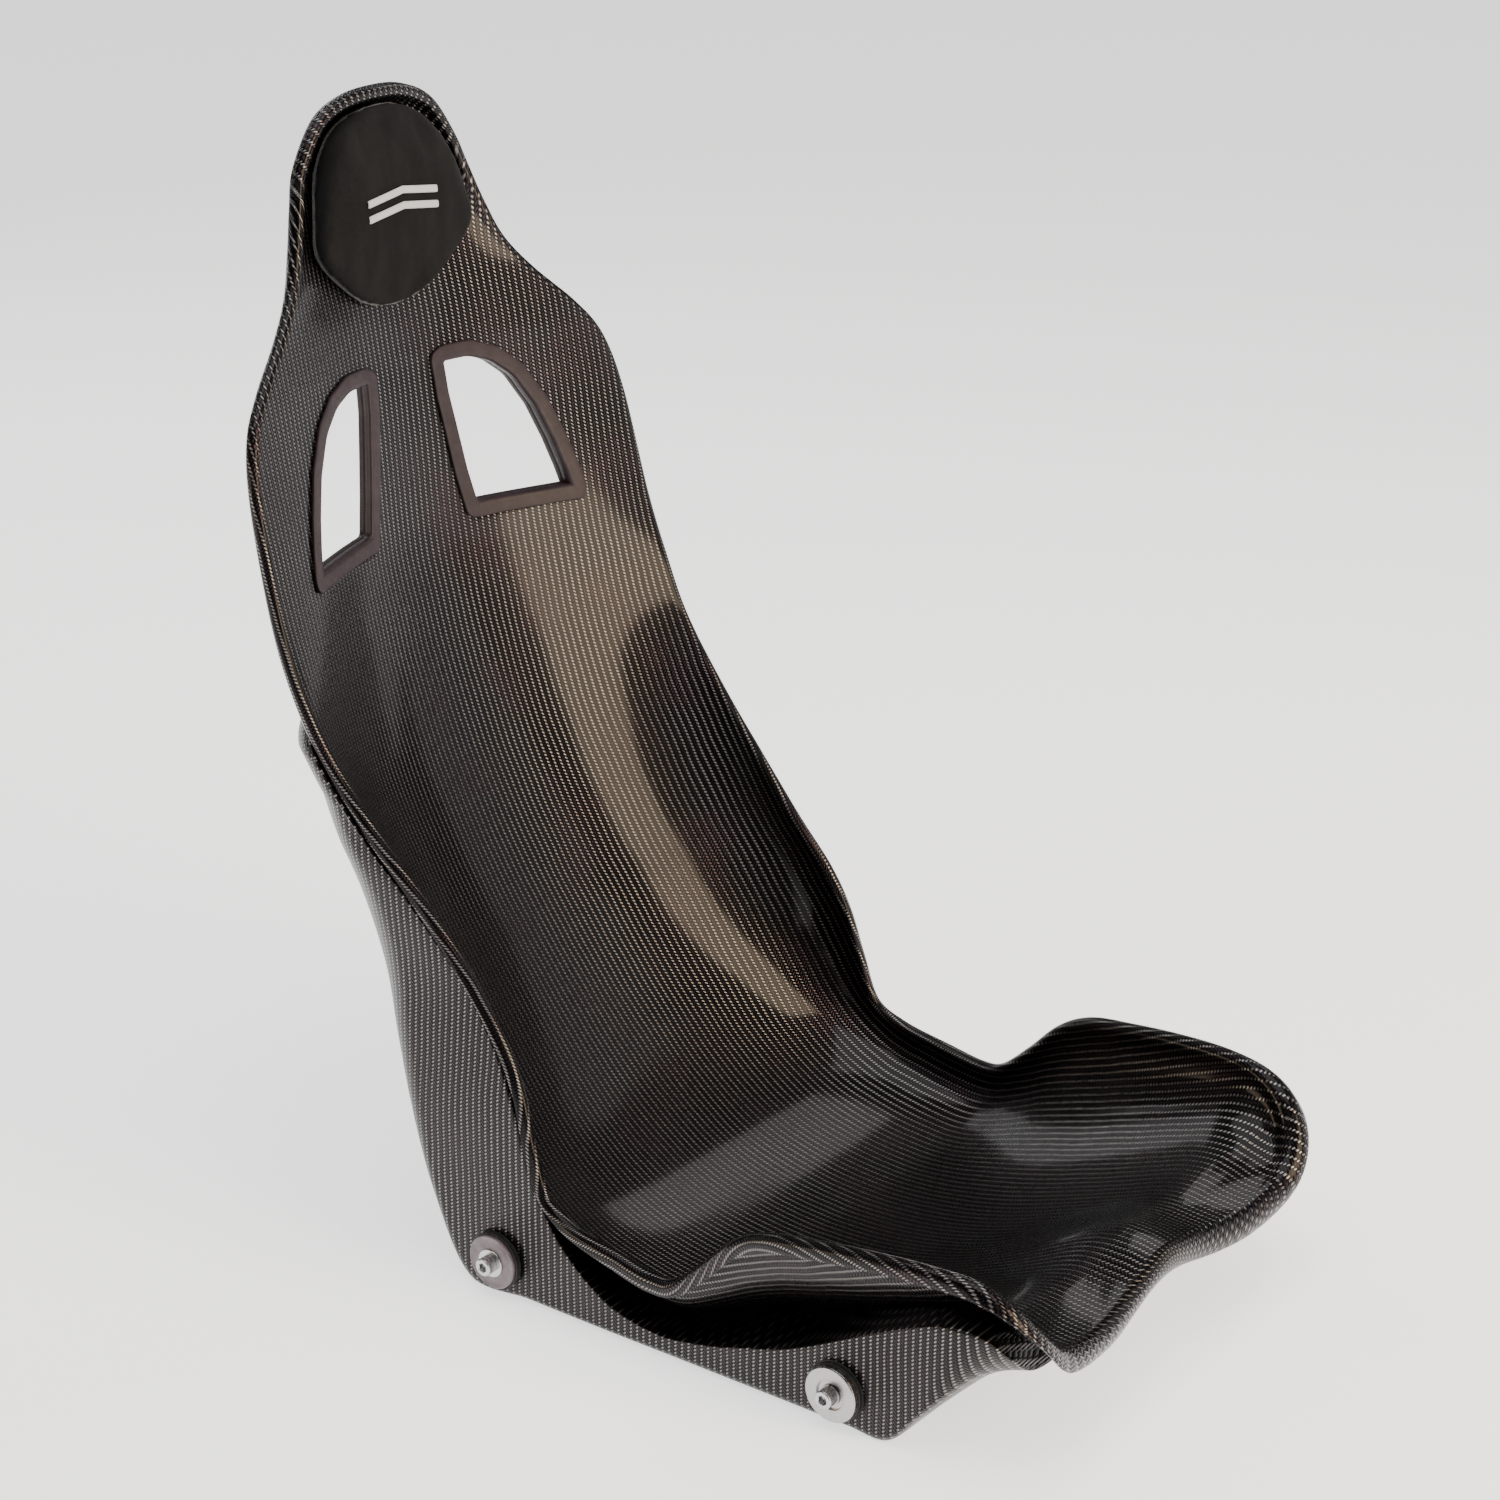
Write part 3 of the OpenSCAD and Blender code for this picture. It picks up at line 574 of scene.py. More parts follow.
def slotLoop(inset):
    # the outline moved inwards, each corner turned into an arc and each side into evenly spaced points
    p = slots["outline"]
    ahead = unit(np.roll(p, -1, 0) - p)                      # side k runs from point k to k + 1
    inwards = np.stack([-ahead[:, 1], ahead[:, 0]], -1)
    behindSide, behindIn = np.roll(ahead, 1, 0), np.roll(inwards, 1, 0)
    half = unit(behindIn + inwards)
    corner = p + half * (inset / (half * inwards).sum(1))[:, None]
    radius = mix(slots["outerRadius"], slots["innerRadius"], np.clip(inset / slots["flange"], 0, 1))
    crossed = behindSide[:, 0] * ahead[:, 1] - behindSide[:, 1] * ahead[:, 0]
    turn = np.arctan2(crossed, (behindSide * ahead).sum(1))
    slight = np.abs(turn) < math.radians(35)                 # slight bends run on as one curve
    radius = np.where(slight, slots["slightRadius"], radius)
    reach = np.linalg.norm(np.roll(corner, -1, 0) - corner, axis=1)
    room = 0.48 * np.minimum(reach, np.roll(reach, 1))
    tangent = np.minimum(radius * np.tan(np.abs(turn) / 2), room)
    start, stop = corner - behindSide * tangent[:, None], corner + ahead * tangent[:, None]
    f = np.linspace(0, 1, slots["cornerSteps"])[None, :, None]
    bend = (1 - f) ** 2 * start[:, None] + 2 * f * (1 - f) * corner[:, None] + f * f * stop[:, None]
    g = np.linspace(0, 1, slots["sideSteps"] + 1)[None, 1:-1, None]
    side = stop[:, None] * (1 - g) + np.roll(start, -1, 0)[:, None] * g
    return np.concatenate([bend, side], 1).reshape(-1, 2)


def insideSlot(x, z, inset):
    # even-odd rule against the inset outline, for whole arrays at once
    loop = slotLoop(inset)
    x0, z0 = loop[:, 0], loop[:, 1]
    x1, z1 = np.roll(x0, -1), np.roll(z0, -1)
    px, pz = np.abs(x)[..., None], z[..., None]
    crosses = (z0 > pz) != (z1 > pz)
    cut = x0 + (pz - z0) / np.where(z1 == z0, 1, z1 - z0) * (x1 - x0)
    return (crosses & (px < cut)).sum(-1) % 2 == 1


def surfaceAt(x, z):
    # Newton steps for the table position (u, t) whose bucket point has this x and z
    u, t = np.full(x.shape, 10.0) + (535 - z) / 60, np.clip(x / 195, 0.05, 0.95)
    for _ in range(12):
        u, t = np.clip(u, 3, 14), np.clip(t, 0.02, 1.1)
        p = across(u, t)
        pu, pt = (across(u + 0.01, t) - p) / 0.01, (across(u, t + 0.01) - p) / 0.01
        ex, ez = x - p[..., 0], z - p[..., 2]
        det = pu[..., 0] * pt[..., 2] - pt[..., 0] * pu[..., 2]
        u = u + (ex * pt[..., 2] - ez * pt[..., 0]) / det
        t = t + (ez * pu[..., 0] - ex * pu[..., 2]) / det
    return across(u, t)[..., 1], facing(u, t)


# the two shells

carbonShine = {"metal": 0.92, "rough": 0.27, "coat": 0.22, "relief": 1.0}
carbonFace = carbonMaterial("carbonFace", carbonShine)
carbonBack = carbonMaterial("carbonBack", {**carbonShine, "rough": 0.36})


def shellRows():
    return np.linspace(0, last, last * bucket["rowsPerStation"] + 1)


def makeFrontShell():
    b = bucket
    s = np.concatenate([np.linspace(0, 1, b["columns"] + 1), 1 + np.linspace(0, 1, b["rollColumns"] + 1)[1:],
                        2 + np.linspace(0, 1, b["tailColumns"] + 1)[1:]])
    u, s = np.meshgrid(shellRows(), s, indexing="ij")
    grid = frontSurface(u, s)
    grid[[0, -1], :, 0] = 0
    uv = weaveCoordinates(grid, b["columns"])
    middle = (grid[:-1, :-1] + grid[1:, :-1] + grid[1:, 1:] + grid[:-1, 1:]) / 4
    inSlot = insideSlot(middle[..., 0], middle[..., 2], slots["cutInset"]) & (middle[..., 1] > 0)
    keep = ~inSlot.ravel()
    piece = mirroredPiece("frontShell", grid, uv, carbonFace, keep, False)
    addSolidify(piece, b["skin"])
    return finishPiece(piece, "seat", "carbon_face", "front_shell")


def makeRearShell():
    b = bucket
    t = np.concatenate([np.linspace(0, 1, b["rearColumns"] + 1),
                        1 + np.linspace(0, 1, b["ledgeColumns"] + 1)[1:]])
    u, t = np.meshgrid(shellRows(), t, indexing="ij")
    ledge = (t > 1) & (u > 20) & (u < 36)
    grid = np.where(ledge[..., None], rearLedge(np.clip(u, 20, 36), np.clip(t - 1, 0, 1)),
                    rearSurface(u, np.minimum(t, 1)))
    grid[[0, -1], :, 0] = 0
    uv = weaveCoordinates(grid, b["rearColumns"])
    middle = (grid[:-1, :-1] + grid[1:, :-1] + grid[1:, 1:] + grid[:-1, 1:]) / 4
    inSlot = insideSlot(middle[..., 0], middle[..., 2], slots["cutInset"]) & (middle[..., 1] > 0)
    inSlot |= ~(ledge[:-1, 1:] & ledge[1:, 1:]) & (t[:-1, 1:] > 1)
    # the side panels take their cloth flat from the side
    panel = (t > 0.5) & (u > boxFirst + 1)
    flat = np.stack([400 - grid[..., 1], grid[..., 2]], -1)
    uv = np.where(panel[..., None], flat, uv)
    piece = mirroredPiece("rearShell", grid, uv, carbonBack, ~inSlot.ravel(), True)
    addSolidify(piece, b["skin"])
    return finishPiece(piece, "seat", "carbon_back", "rear_shell")


frontShell = makeFrontShell()
rearShell = makeRearShell()
print("shells made,", len(frontShell.data.polygons), "and", len(rearShell.data.polygons), "faces")

# slot trims


def trimMaterial():
    # satin moulded plastic with a fine spark-eroded grain
    material, tree, shader = blankMaterial("slotTrim", {"Roughness": 0.5, "Specular IOR Level": 0.22,
                                                        "Coat Weight": 0.04, "Coat Roughness": 0.3})
    point = objectPoint(tree)
    tone = colourMix(tree, ramp(tree, noise(tree, point, 90.0, 3.0), 0.35, 0.7), (0.019, 0.011, 0.014, 1),
                     (0.027, 0.017, 0.020, 1))
    plug(tree, tone, shader.inputs["Base Color"])
    plug(tree, ramp(tree, noise(tree, point, 400.0, 2.0), 0.3, 0.7, 0.36, 0.48), shader.inputs["Roughness"])
    plug(tree, bump(tree, noise(tree, point, 2600.0, 2.0), 0.00005, 0.6), shader.inputs["Normal"])
    return material


slotTrim = trimMaterial()


def makeTrim(name, profile, mirror, node):
    # a closed profile of (inset, height over the bucket) carried round the slot;
    # height is taken straight forwards
    loops = np.stack([slotLoop(inset) for inset, _ in profile])
    y, normal = surfaceAt(loops[..., 0], loops[..., 1])
    height = np.array([h for _, h in profile])[:, None]
    points = np.stack([loops[..., 0], y + height / np.minimum(normal[..., 1], -0.3), loops[..., 1]], -1)
    index = np.arange(points.shape[0] * points.shape[1]).reshape(points.shape[:2])
    faces = stripFaces(index, True, True)
    points = points.reshape(-1, 3) * [(-1 if mirror else 1), 1, 1]
    if not mirror:
        faces = faces[:, ::-1]
    piece = makePiece(name, points, faces, slotTrim)
    return finishPiece(piece, "seat", "slot_trim", node)


def roundEnd(centre, radii, fromDeg, toDeg, steps=5):
    # points on an ellipse arc
    a = np.radians(np.linspace(fromDeg, toDeg, steps))
    return [(centre[0] + radii[0] * math.sin(v), centre[1] + radii[1] * math.cos(v)) for v in a.tolist()]


flangeTop, flangeWide, sleeveDeep = slots["flangeHeight"], slots["flange"], 3.9
frontProfile = ([(0.0, 0.15), (0.0, 1.2)] + roundEnd((0.9, flangeTop - 0.9), (0.9, 0.9), -90, 0)
                + [(4.0, flangeTop), (8.0, flangeTop)]
                + roundEnd((flangeWide - 2.4, flangeTop - 2.2), (2.4, 2.2), 10, 90, 7)
                + [(flangeWide, -1.5), (flangeWide, -sleeveDeep),
                   (flangeWide - slots["sleeveWall"], -sleeveDeep), (flangeWide - slots["sleeveWall"], 0.15)])
backLevel = -(2 * bucket["skin"] + bucket["skinGap"])
rearProfile = [(inset, backLevel - h) for inset, h in frontProfile[::-1]]
for side, mirror in (("left", False), ("right", True)):
    makeTrim("trimFront" + side.title(), frontProfile, mirror, "trim_front_" + side)
    makeTrim("trimRear" + side.title(), rearProfile, mirror, "trim_rear_" + side)
print("slot trims made")

# side fittings

fitting = {
    "panel": bucket["half"] + bucket["bond"],
    "frontY": -145.0, "rearY": 145.0, "height": 27.5,
    "hole": 8.4, "sides": 120,
    # diameter and thickness
    "seal": (44.0, 1.0), "frontRubber": (41.5, 2.5), "frontDisc": (40.0, 4.5), "recess": (21.2, 1.8),
    "spring": (14.8, 2.0), "rearRubber": (43.0, 5.0), "rearDisc": (40.0, 2.5), "penny": (20.8, 1.6),
    "headDiameter": 13.0, "headHeight": 8.0, "keyWidth": 6.0, "keyDepth": 4.0, "ridges": 40,
}


def placeBothSides(points, y):
    # local z points out of the panel; each side is a quarter turn about Y, so neither copy is mirrored
    sides = [np.stack([s * (fitting["panel"] + points[..., 2]), y + points[..., 1],
                       fitting["height"] - s * points[..., 0]], -1) for s in (1, -1)]
    return np.stack(sides)


def makeTurned(name, profile, y, material, slotName, node, edge=0.25, closed=True):
    # profile rows are (radius, z, share of hexagon, share of ridges), carried round the screw's axis;
    # the radius is blended between a circle, a hexagon a / cos(angle) and a ridged circle
    rows = np.array([(r + (0, 0))[:4] for r in profile], float)
    n = fitting["sides"] * (2 if rows[:, 3].any() else 1)
    angle = np.linspace(0, 2 * math.pi, n, endpoint=False)[None]
    hexagon = 1 / np.cos(np.mod(angle, math.pi / 3) - math.pi / 6)
    ridge = 1 - 0.028 * (0.5 + 0.5 * np.cos(fitting["ridges"] * angle))
    radius = rows[:, :1] * mix(1, hexagon, rows[:, 2:3]) * mix(1, ridge, rows[:, 3:4])
    points = np.stack([radius * np.cos(angle), radius * np.sin(angle), rows[:, 1:2] + 0 * angle], -1)
    index = np.arange(points.shape[0] * n).reshape(-1, n)
    both = placeBothSides(points, y).reshape(2, -1, 3)
    faces = stripFaces(index, closed, True)[:, ::-1]
    blocks = [faces, faces + points.shape[0] * n]
    if not closed:
        ends = np.stack([index[0], index[-1][::-1]])
        blocks += [ends, ends + points.shape[0] * n]
    piece = makePiece(name, both.reshape(-1, 3), blocks, material)
    if edge:
        addBevel(piece, edge, 2)
    piece.data.set_sharp_from_angle(angle=math.radians(40))
    return finishPiece(piece, "seat", slotName, node)


def washerProfile(diameter, thick, base):
    outer, top = diameter / 2, base + thick
    return [(holeR, base), (outer, base), (outer, top), (holeR, top)]


def rubberMaterial():
    # matt black rubber with a dusty bloom
    material, tree, shader = blankMaterial("blackRubber", {"Roughness": 0.6, "Specular IOR Level": 0.4})
    point = objectPoint(tree)
    bloom = ramp(tree, noise(tree, point, 260.0, 4.0), 0.4, 0.75)
    tone = colourMix(tree, bloom, (0.008, 0.008, 0.009, 1), (0.022, 0.021, 0.022, 1))
    plug(tree, tone, shader.inputs["Base Color"])
    plug(tree, ramp(tree, noise(tree, point, 700.0, 3.0), 0.3, 0.7, 0.5, 0.72), shader.inputs["Roughness"])
    plug(tree, bump(tree, noise(tree, point, 1500.0, 3.0), 0.00008, 0.5), shader.inputs["Normal"])
    return material


def turnedMaterial(name, tone, rough, centreY, ringScale):
    # metal with fine turning marks: rings round the screw axis, from the distance in the panel's own plane
    material, tree, shader = blankMaterial(name, {"Metallic": 1.0, "Roughness": rough})
    point = objectPoint(tree)
    moved = addNode(tree, "ShaderNodeMapping", {"Vector": point, "Location": (
        0, -centreY * mm, -fitting["height"] * mm)}).outputs[0]
    flat = addNode(tree, "ShaderNodeVectorMath", {0: moved, 1: (0, 1, 1)}, operation="MULTIPLY").outputs[0]
    distance = addNode(tree, "ShaderNodeVectorMath", {0: flat}, operation="LENGTH").outputs["Value"]
    rings = addNode(tree, "ShaderNodeCombineXYZ", {0: calc(tree, "MULTIPLY", distance, ringScale)}).outputs[0]
    mark = noise(tree, rings, 1.0, 4.0, 0.7)
    smear = noise(tree, point, 180.0, 3.0)
    plug(tree, colourMix(tree, ramp(tree, mark, 0.3, 0.7), tuple(0.60 * c for c in tone) + (1,), tone + (1,)),
         shader.inputs["Base Color"])
    plug(tree, calc(tree, "ADD", ramp(tree, mark, 0.3, 0.7, rough - 0.06, rough + 0.10),
                    ramp(tree, smear, 0.45, 0.75, 0.0, 0.10)), shader.inputs["Roughness"])
    plug(tree, bump(tree, mark, 0.00006, 0.5), shader.inputs["Normal"])
    return material


def nylonMaterial():
    # plum-grey satin plastic, faintly mottled
    material, tree, shader = blankMaterial("plumNylon", {
        "Roughness": 0.38, "Coat Weight": 0.3, "Coat Roughness": 0.2})
    point = objectPoint(tree)
    mottle = ramp(tree, noise(tree, point, 200.0, 4.0), 0.3, 0.75)
    tone = colourMix(tree, mottle, (0.115, 0.085, 0.100, 1), (0.165, 0.130, 0.148, 1))
    plug(tree, tone, shader.inputs["Base Color"])
    plug(tree, ramp(tree, noise(tree, point, 500.0, 2.0), 0.3, 0.7, 0.32, 0.46), shader.inputs["Roughness"])
    plug(tree, bump(tree, noise(tree, point, 2200.0, 2.0), 0.00004, 0.4), shader.inputs["Normal"])
    return material


blackRubber = rubberMaterial()
plumNylon = nylonMaterial()
turnedAlloy = turnedMaterial("turnedAlloy", (0.50, 0.49, 0.50), 0.24, fitting["frontY"], 3200.0)
plainSteel = turnedMaterial("plainSteel", (0.50, 0.49, 0.50), 0.30, fitting["frontY"], 2600.0)
brightWasher = turnedMaterial("brightWasher", (0.62, 0.61, 0.62), 0.18, fitting["rearY"], 2600.0)
zincScrew = turnedMaterial("zincScrew", (0.58, 0.58, 0.60), 0.22, fitting["rearY"], 900.0)

holeR = fitting["hole"] / 2
sealTop = fitting["seal"][1]
frontRubberTop = sealTop + fitting["frontRubber"][1]
frontDiscTop = frontRubberTop + fitting["frontDisc"][1]
springBase = frontDiscTop - fitting["recess"][1]
frontSeat = springBase + fitting["spring"][1]
rearRubberTop = fitting["rearRubber"][1]
rearDiscTop = rearRubberTop + fitting["rearDisc"][1]
rearSeat = rearDiscTop + fitting["penny"][1]


def headProfile(seat):
    # shank end, under the head, ridged side, crowned edge, flat top, hexagon socket with a drilled cone
    r, key = fitting["headDiameter"] / 2, fitting["keyWidth"] / 2
    top = seat + fitting["headHeight"]
    floor = top - fitting["keyDepth"]
    return [(0.02, -17.0), (3.4, -17.0), (4.0, -16.4), (4.0, seat), (r - 0.3, seat), (r, seat + 0.3, 0, 0.6),
            (r, seat + 0.9, 0, 1), (r, top - 1.6, 0, 1), (r, top - 1.1, 0, 0.3), (r - 0.12, top - 0.65),
            (r - 0.6, top - 0.2), (r - 1.2, top), (key + 0.75, top), (key + 0.35, top - 0.12, 0.6),
            (key, top - 0.5, 1), (key, floor, 1), (key - 0.4, floor - 0.2, 0.5), (0.02, floor - 1.3)]


def discProfile(radius, recessRadius, base, top, floor):
    # a disc with a chamfered rim and a round recess
    return [(holeR, base), (radius - 0.3, base), (radius, base + 0.3), (radius, top - 0.8),
            (radius - 0.8, top), (recessRadius + 0.4, top), (recessRadius, top - 0.4),
            (recessRadius, floor), (holeR, floor)]


def bulgedProfile(radius, thick):
    # a thick rubber washer, a little waisted between its two edges
    return [(holeR, 0), (radius - 0.3, 0), (radius, 0.2 * thick), (radius - 0.5, 0.5 * thick),
            (radius, 0.8 * thick), (radius - 0.3, thick), (holeR, thick)]


def rimmedProfile(radius, base, top):
    # a moulded disc with a raised rim and a raised seat for the washer
    low = top - 0.25
    return [(holeR, base), (radius - 0.3, base), (radius, base + 0.3), (radius, top - 0.5),
            (radius - 0.5, top), (radius - 1.4, top), (radius - 1.8, low), (12.0, low), (11.6, top),
            (holeR, top)]


def makeFittings():
    frontY, rearY = fitting["frontY"], fitting["rearY"]
    makeTurned("sealWashers", washerProfile(*fitting["seal"], 0), frontY, blackRubber, "black_rubber",
               "seal_washers")
    makeTurned("frontRubbers", washerProfile(*fitting["frontRubber"], sealTop), frontY, blackRubber,
               "black_rubber", "front_rubbers", edge=0.5)
    frontDisc = discProfile(fitting["frontDisc"][0] / 2, fitting["recess"][0] / 2, frontRubberTop,
                            frontDiscTop, springBase)
    makeTurned("frontDiscs", frontDisc, frontY, turnedAlloy, "turned_alloy", "front_discs", edge=0.12)
    rearRubber = bulgedProfile(fitting["rearRubber"][0] / 2, rearRubberTop)
    makeTurned("rearRubbers", rearRubber, rearY, blackRubber, "black_rubber", "rear_rubbers", edge=0.4)
    rearDisc = rimmedProfile(fitting["rearDisc"][0] / 2, rearRubberTop, rearDiscTop)
    makeTurned("rearDiscs", rearDisc, rearY, plumNylon, "plum_nylon", "rear_discs", edge=0.1)
    makeTurned("pennyWashers", washerProfile(*fitting["penny"], rearDiscTop), rearY, brightWasher,
               "bright_washer", "penny_washers", edge=0.4)
    makeTurned("frontScrews", headProfile(frontSeat), frontY, zincScrew, "zinc_screw", "front_screws",
               edge=0, closed=False)
    makeTurned("rearScrews", headProfile(rearSeat), rearY, zincScrew, "zinc_screw", "rear_screws",
               edge=0, closed=False)


def makeSpringWashers():
    # a square section carried round almost a full turn while it climbs, with its two cut ends closed
    outer, thick = fitting["spring"][0] / 2, fitting["spring"][1]
    gap, climb, steps = 0.10, 0.35, 96
    angle = np.linspace(gap, 2 * math.pi - gap, steps)[:, None]
    section = np.array([(holeR, 0), (outer, 0), (outer, thick - climb), (holeR, thick - climb)])[None]
    rise = climb * (angle - gap) / (2 * math.pi - 2 * gap)
    points = np.stack([section[..., 0] * np.cos(angle), section[..., 0] * np.sin(angle),
                       springBase + section[..., 1] + rise], -1)
    index = np.arange(steps * 4).reshape(steps, 4)
    faces = stripFaces(index, False, True)
    ends = np.stack([index[0], index[-1][::-1]])
    both = placeBothSides(points, fitting["frontY"]).reshape(-1, 3)
    piece = makePiece("springWashers", both, [faces, faces + steps * 4, ends, ends + steps * 4], plainSteel)
    addBevel(piece, 0.25, 2)
    piece.data.set_sharp_from_angle(angle=math.radians(40))
    return finishPiece(piece, "seat", "plain_steel", "spring_washers")


makeFittings()
makeSpringWashers()
print("side fittings made")

# head pad

pad = {
    "outline": np.array([[0, 779], [14, 778], [31, 773], [46, 764], [57, 751], [65, 737], [72, 719],
                         [77, 703], [81, 691], [80, 682], [74, 672], [65, 663], [56, 655], [46, 647],
                         [36, 640], [22, 635], [0, 632]], float),
    "centre": (0.0, 705.0),
    "bend": 263.0, "bendY": 645.0, "bendZ": 690.0,      # the front is a long arc about a crosswise axis
    "backHeight": 4.3,          # over the bucket, so that the board still shows behind it
    "start": 1.6,               # how much smaller the form is before it swells
    "swell": 3.2,               # the farthest any point may move
    "pressure": 4.0,
    "voxel": 4.0,
    "edge": 5.0,                # rounding between front and side
}


def padLoop(steps):
    # cubic through the outline's points and their mirror image, as one closed loop
    half = pad["outline"]
    loop = np.vstack([half, (half * [-1, 1])[-2:0:-1]])
    u = np.linspace(0, len(loop), steps, endpoint=False)
    k = np.floor(u).astype(int)
    a, b, c, d = (loop[(k + i) % len(loop)] for i in (-1, 0, 1, 2))
    return blendFour(a, b, c, d, (u - k)[:, None])


def padFrontY(z, depth=0.0):
    # the near side of a long cylinder lying crosswise
    r = pad["bend"] - depth
    return pad["bendY"] - np.sqrt(np.maximum(r * r - (z - pad["bendZ"]) ** 2, 1))


def headSurfaceY(x, z):
    # Newton steps on the head section, as for the slots but from higher up
    u, t = np.clip((748 - z) / 16, 0.3, 8), np.clip(np.abs(x) / 95, 0.02, 0.9)
    for _ in range(14):
        u, t = np.clip(u, 0.02, 9), np.clip(t, 0.0, 1.05)
        p = across(u, t)
        pu, pt = (across(u + 0.01, t) - p) / 0.01, (across(u, t + 0.01) - p) / 0.01
        ex, ez = np.abs(x) - p[..., 0], z - p[..., 2]
        det = pu[..., 0] * pt[..., 2] - pt[..., 0] * pu[..., 2]
        det = np.where(np.abs(det) < 1e-3, 1e-3, det)
        u = u + np.clip((ex * pt[..., 2] - ez * pt[..., 0]) / det, -1, 1)
        t = t + np.clip((ez * pu[..., 0] - ex * pu[..., 2]) / det, -0.2, 0.2)
    return across(np.clip(u, 0, 9), np.clip(t, 0, 1.05))[..., 1]


def suedeMaterial():
    # short nap: fine mottling, a soft sheen and fibre-like bump, lighter where the nap lies over
    material, tree, shader = blankMaterial("padSuede", {
        "Roughness": 0.92, "Specular IOR Level": 0.15, "Sheen Weight": 0.05, "Sheen Roughness": 0.4,
        "Sheen Tint": (0.62, 0.60, 0.62, 1)})
    point = objectPoint(tree)
    stroke = addNode(tree, "ShaderNodeMapping", {"Vector": point, "Scale": (1.0, 1.0, 0.35)}).outputs[0]
    patches = ramp(tree, noise(tree, stroke, 55.0, 4.0, 0.6), 0.35, 0.7)
    nap = noise(tree, point, 1400.0, 3.0, 0.7)
    tone = colourMix(tree, patches, (0.0045, 0.0045, 0.0048, 1), (0.0085, 0.0083, 0.0088, 1))
    tone = colourMix(tree, ramp(tree, nap, 0.45, 0.8, 0.0, 0.5), tone, (0.018, 0.0175, 0.018, 1))
    plug(tree, tone, shader.inputs["Base Color"])
    plug(tree, bump(tree, nap, 0.00022, 0.8), shader.inputs["Normal"])
    return material


padSuede = suedeMaterial()


def padForm():
    # rings from the middle of the front, over the rounded edge, down the side and in over the back
    edge = pad["edge"]
    loop = padLoop(160)
    centre = np.array(pad["centre"])
    inwards = unit(centre - loop)
    spokes = np.linalg.norm(loop - centre, axis=1)[:, None]
    arc = np.radians(np.linspace(0, 90, 6))
    # each ring: inset from the outline in mm, or a share of the spoke; and depth behind the front arc
    shares = [0.3, 0.6, 0.85]
    insets = pad["start"] + edge - edge * np.sin(arc)
    depths = pad["start"] + edge - edge * np.cos(arc)
    flat = (loop - centre) * (1 - (pad["start"] + edge) / spokes)
    front = [(centre + flat * s, pad["start"]) for s in shares]
    rim = [(loop + inwards * i, d) for i, d in zip(insets, depths)]
    frontRings = [np.stack([r[:, 0], padFrontY(r[:, 1]) + d, r[:, 1]], -1) for r, d in front + rim]
    backRings = []
    for share in (1.0, 0.85, 0.6, 0.3):
        r = centre + (loop + inwards * pad["start"] - centre) * share
        backRings.append(np.stack([r[:, 0], headSurfaceY(r[:, 0], r[:, 1]) - pad["backHeight"], r[:, 1]], -1))
    backRings[0][:, 1] = np.maximum(backRings[0][:, 1], frontRings[-1][:, 1] + 2)
    rings = np.stack(frontRings + backRings)
    index = np.arange(rings.shape[0] * rings.shape[1]).reshape(rings.shape[:2])
    frontPole = padFrontY(centre[1]) + pad["start"]
    backPole = headSurfaceY(np.array([0.0]), centre[1:])[0] - pad["backHeight"]
    poles = np.array([[0, frontPole, centre[1]], [0, backPole, centre[1]]])
    count = index.size
    turned = np.roll(index, -1, 1)
    caps = np.stack([turned[0], index[0], np.full_like(index[0], count)], -1)
    closing = np.stack([index[-1], turned[-1], np.full_like(index[0], count + 1)], -1)
    return np.vstack([rings.reshape(-1, 3), poles]), [stripFaces(index, False, True), caps, closing]


def makePad():
    points, faces = padForm()
    piece = makePiece("headPad", points, faces, padSuede)
    remesh = piece.modifiers.new("even", "REMESH")
    remesh.mode = "VOXEL"
    remesh.voxel_size = pad["voxel"] * mm
    remesh.use_smooth_shade = True
    settle(piece)
    count = len(piece.data.vertices)
    start = np.zeros(count * 3)
    piece.data.vertices.foreach_get("co", start)
    start = start.reshape(-1, 3)
    # the back is glued to the board, so it holds still while the rest swells
    backY = headSurfaceY(start[:, 0] / mm, start[:, 2] / mm) - pad["backHeight"]
    held = piece.vertex_groups.new(name="held")
    glued = np.nonzero(start[:, 1] / mm > backY - 3.0)[0]
    held.add(glued.tolist(), 1.0, "REPLACE")
    swelling = piece.modifiers.new("swelling", "CLOTH")
    swelling.settings.use_pressure = True
    swelling.settings.uniform_pressure_force = pad["pressure"]
    swelling.settings.tension_stiffness = 40
    swelling.settings.compression_stiffness = 40
    swelling.settings.bending_stiffness = 2.0
    swelling.settings.quality = 6
    swelling.settings.vertex_group_mass = "held"
    swelling.settings.effector_weights.gravity = 0
    swelling.point_cache.frame_start = 1
    swelling.point_cache.frame_end = 20
    for frameNumber in range(1, 21):
        bpy.context.scene.frame_set(frameNumber)
    settle(piece)
    bpy.context.scene.frame_set(1)
    swollen = np.zeros(count * 3)
    piece.data.vertices.foreach_get("co", swollen)
    move = swollen.reshape(-1, 3) - start
    far = np.linalg.norm(move, axis=1, keepdims=True)
    move *= np.minimum(1, pad["swell"] * mm / np.maximum(far, 1e-9))
    piece.data.vertices.foreach_set("co", (start + move).ravel())
    print("pad swelled by up to", round(float(np.minimum(far.max() / mm, pad["swell"])), 2), "mm")
    piece.data.materials.clear()
    piece.data.materials.append(padSuede)
    piece.data.polygons.foreach_set("use_smooth", np.full(len(piece.data.polygons), True))
    relax = piece.modifiers.new("relax", "SMOOTH")
    relax.factor, relax.iterations = 0.5, 3
    addSubdivision(piece, 1)
    settle(piece)
    finishPiece(piece, "head_pad", "pad_suede", "pad_cover", "pad_foam")
    return piece


headPad = makePad()
print("head pad made,", len(headPad.data.polygons), "faces")

# stitched mark on the pad

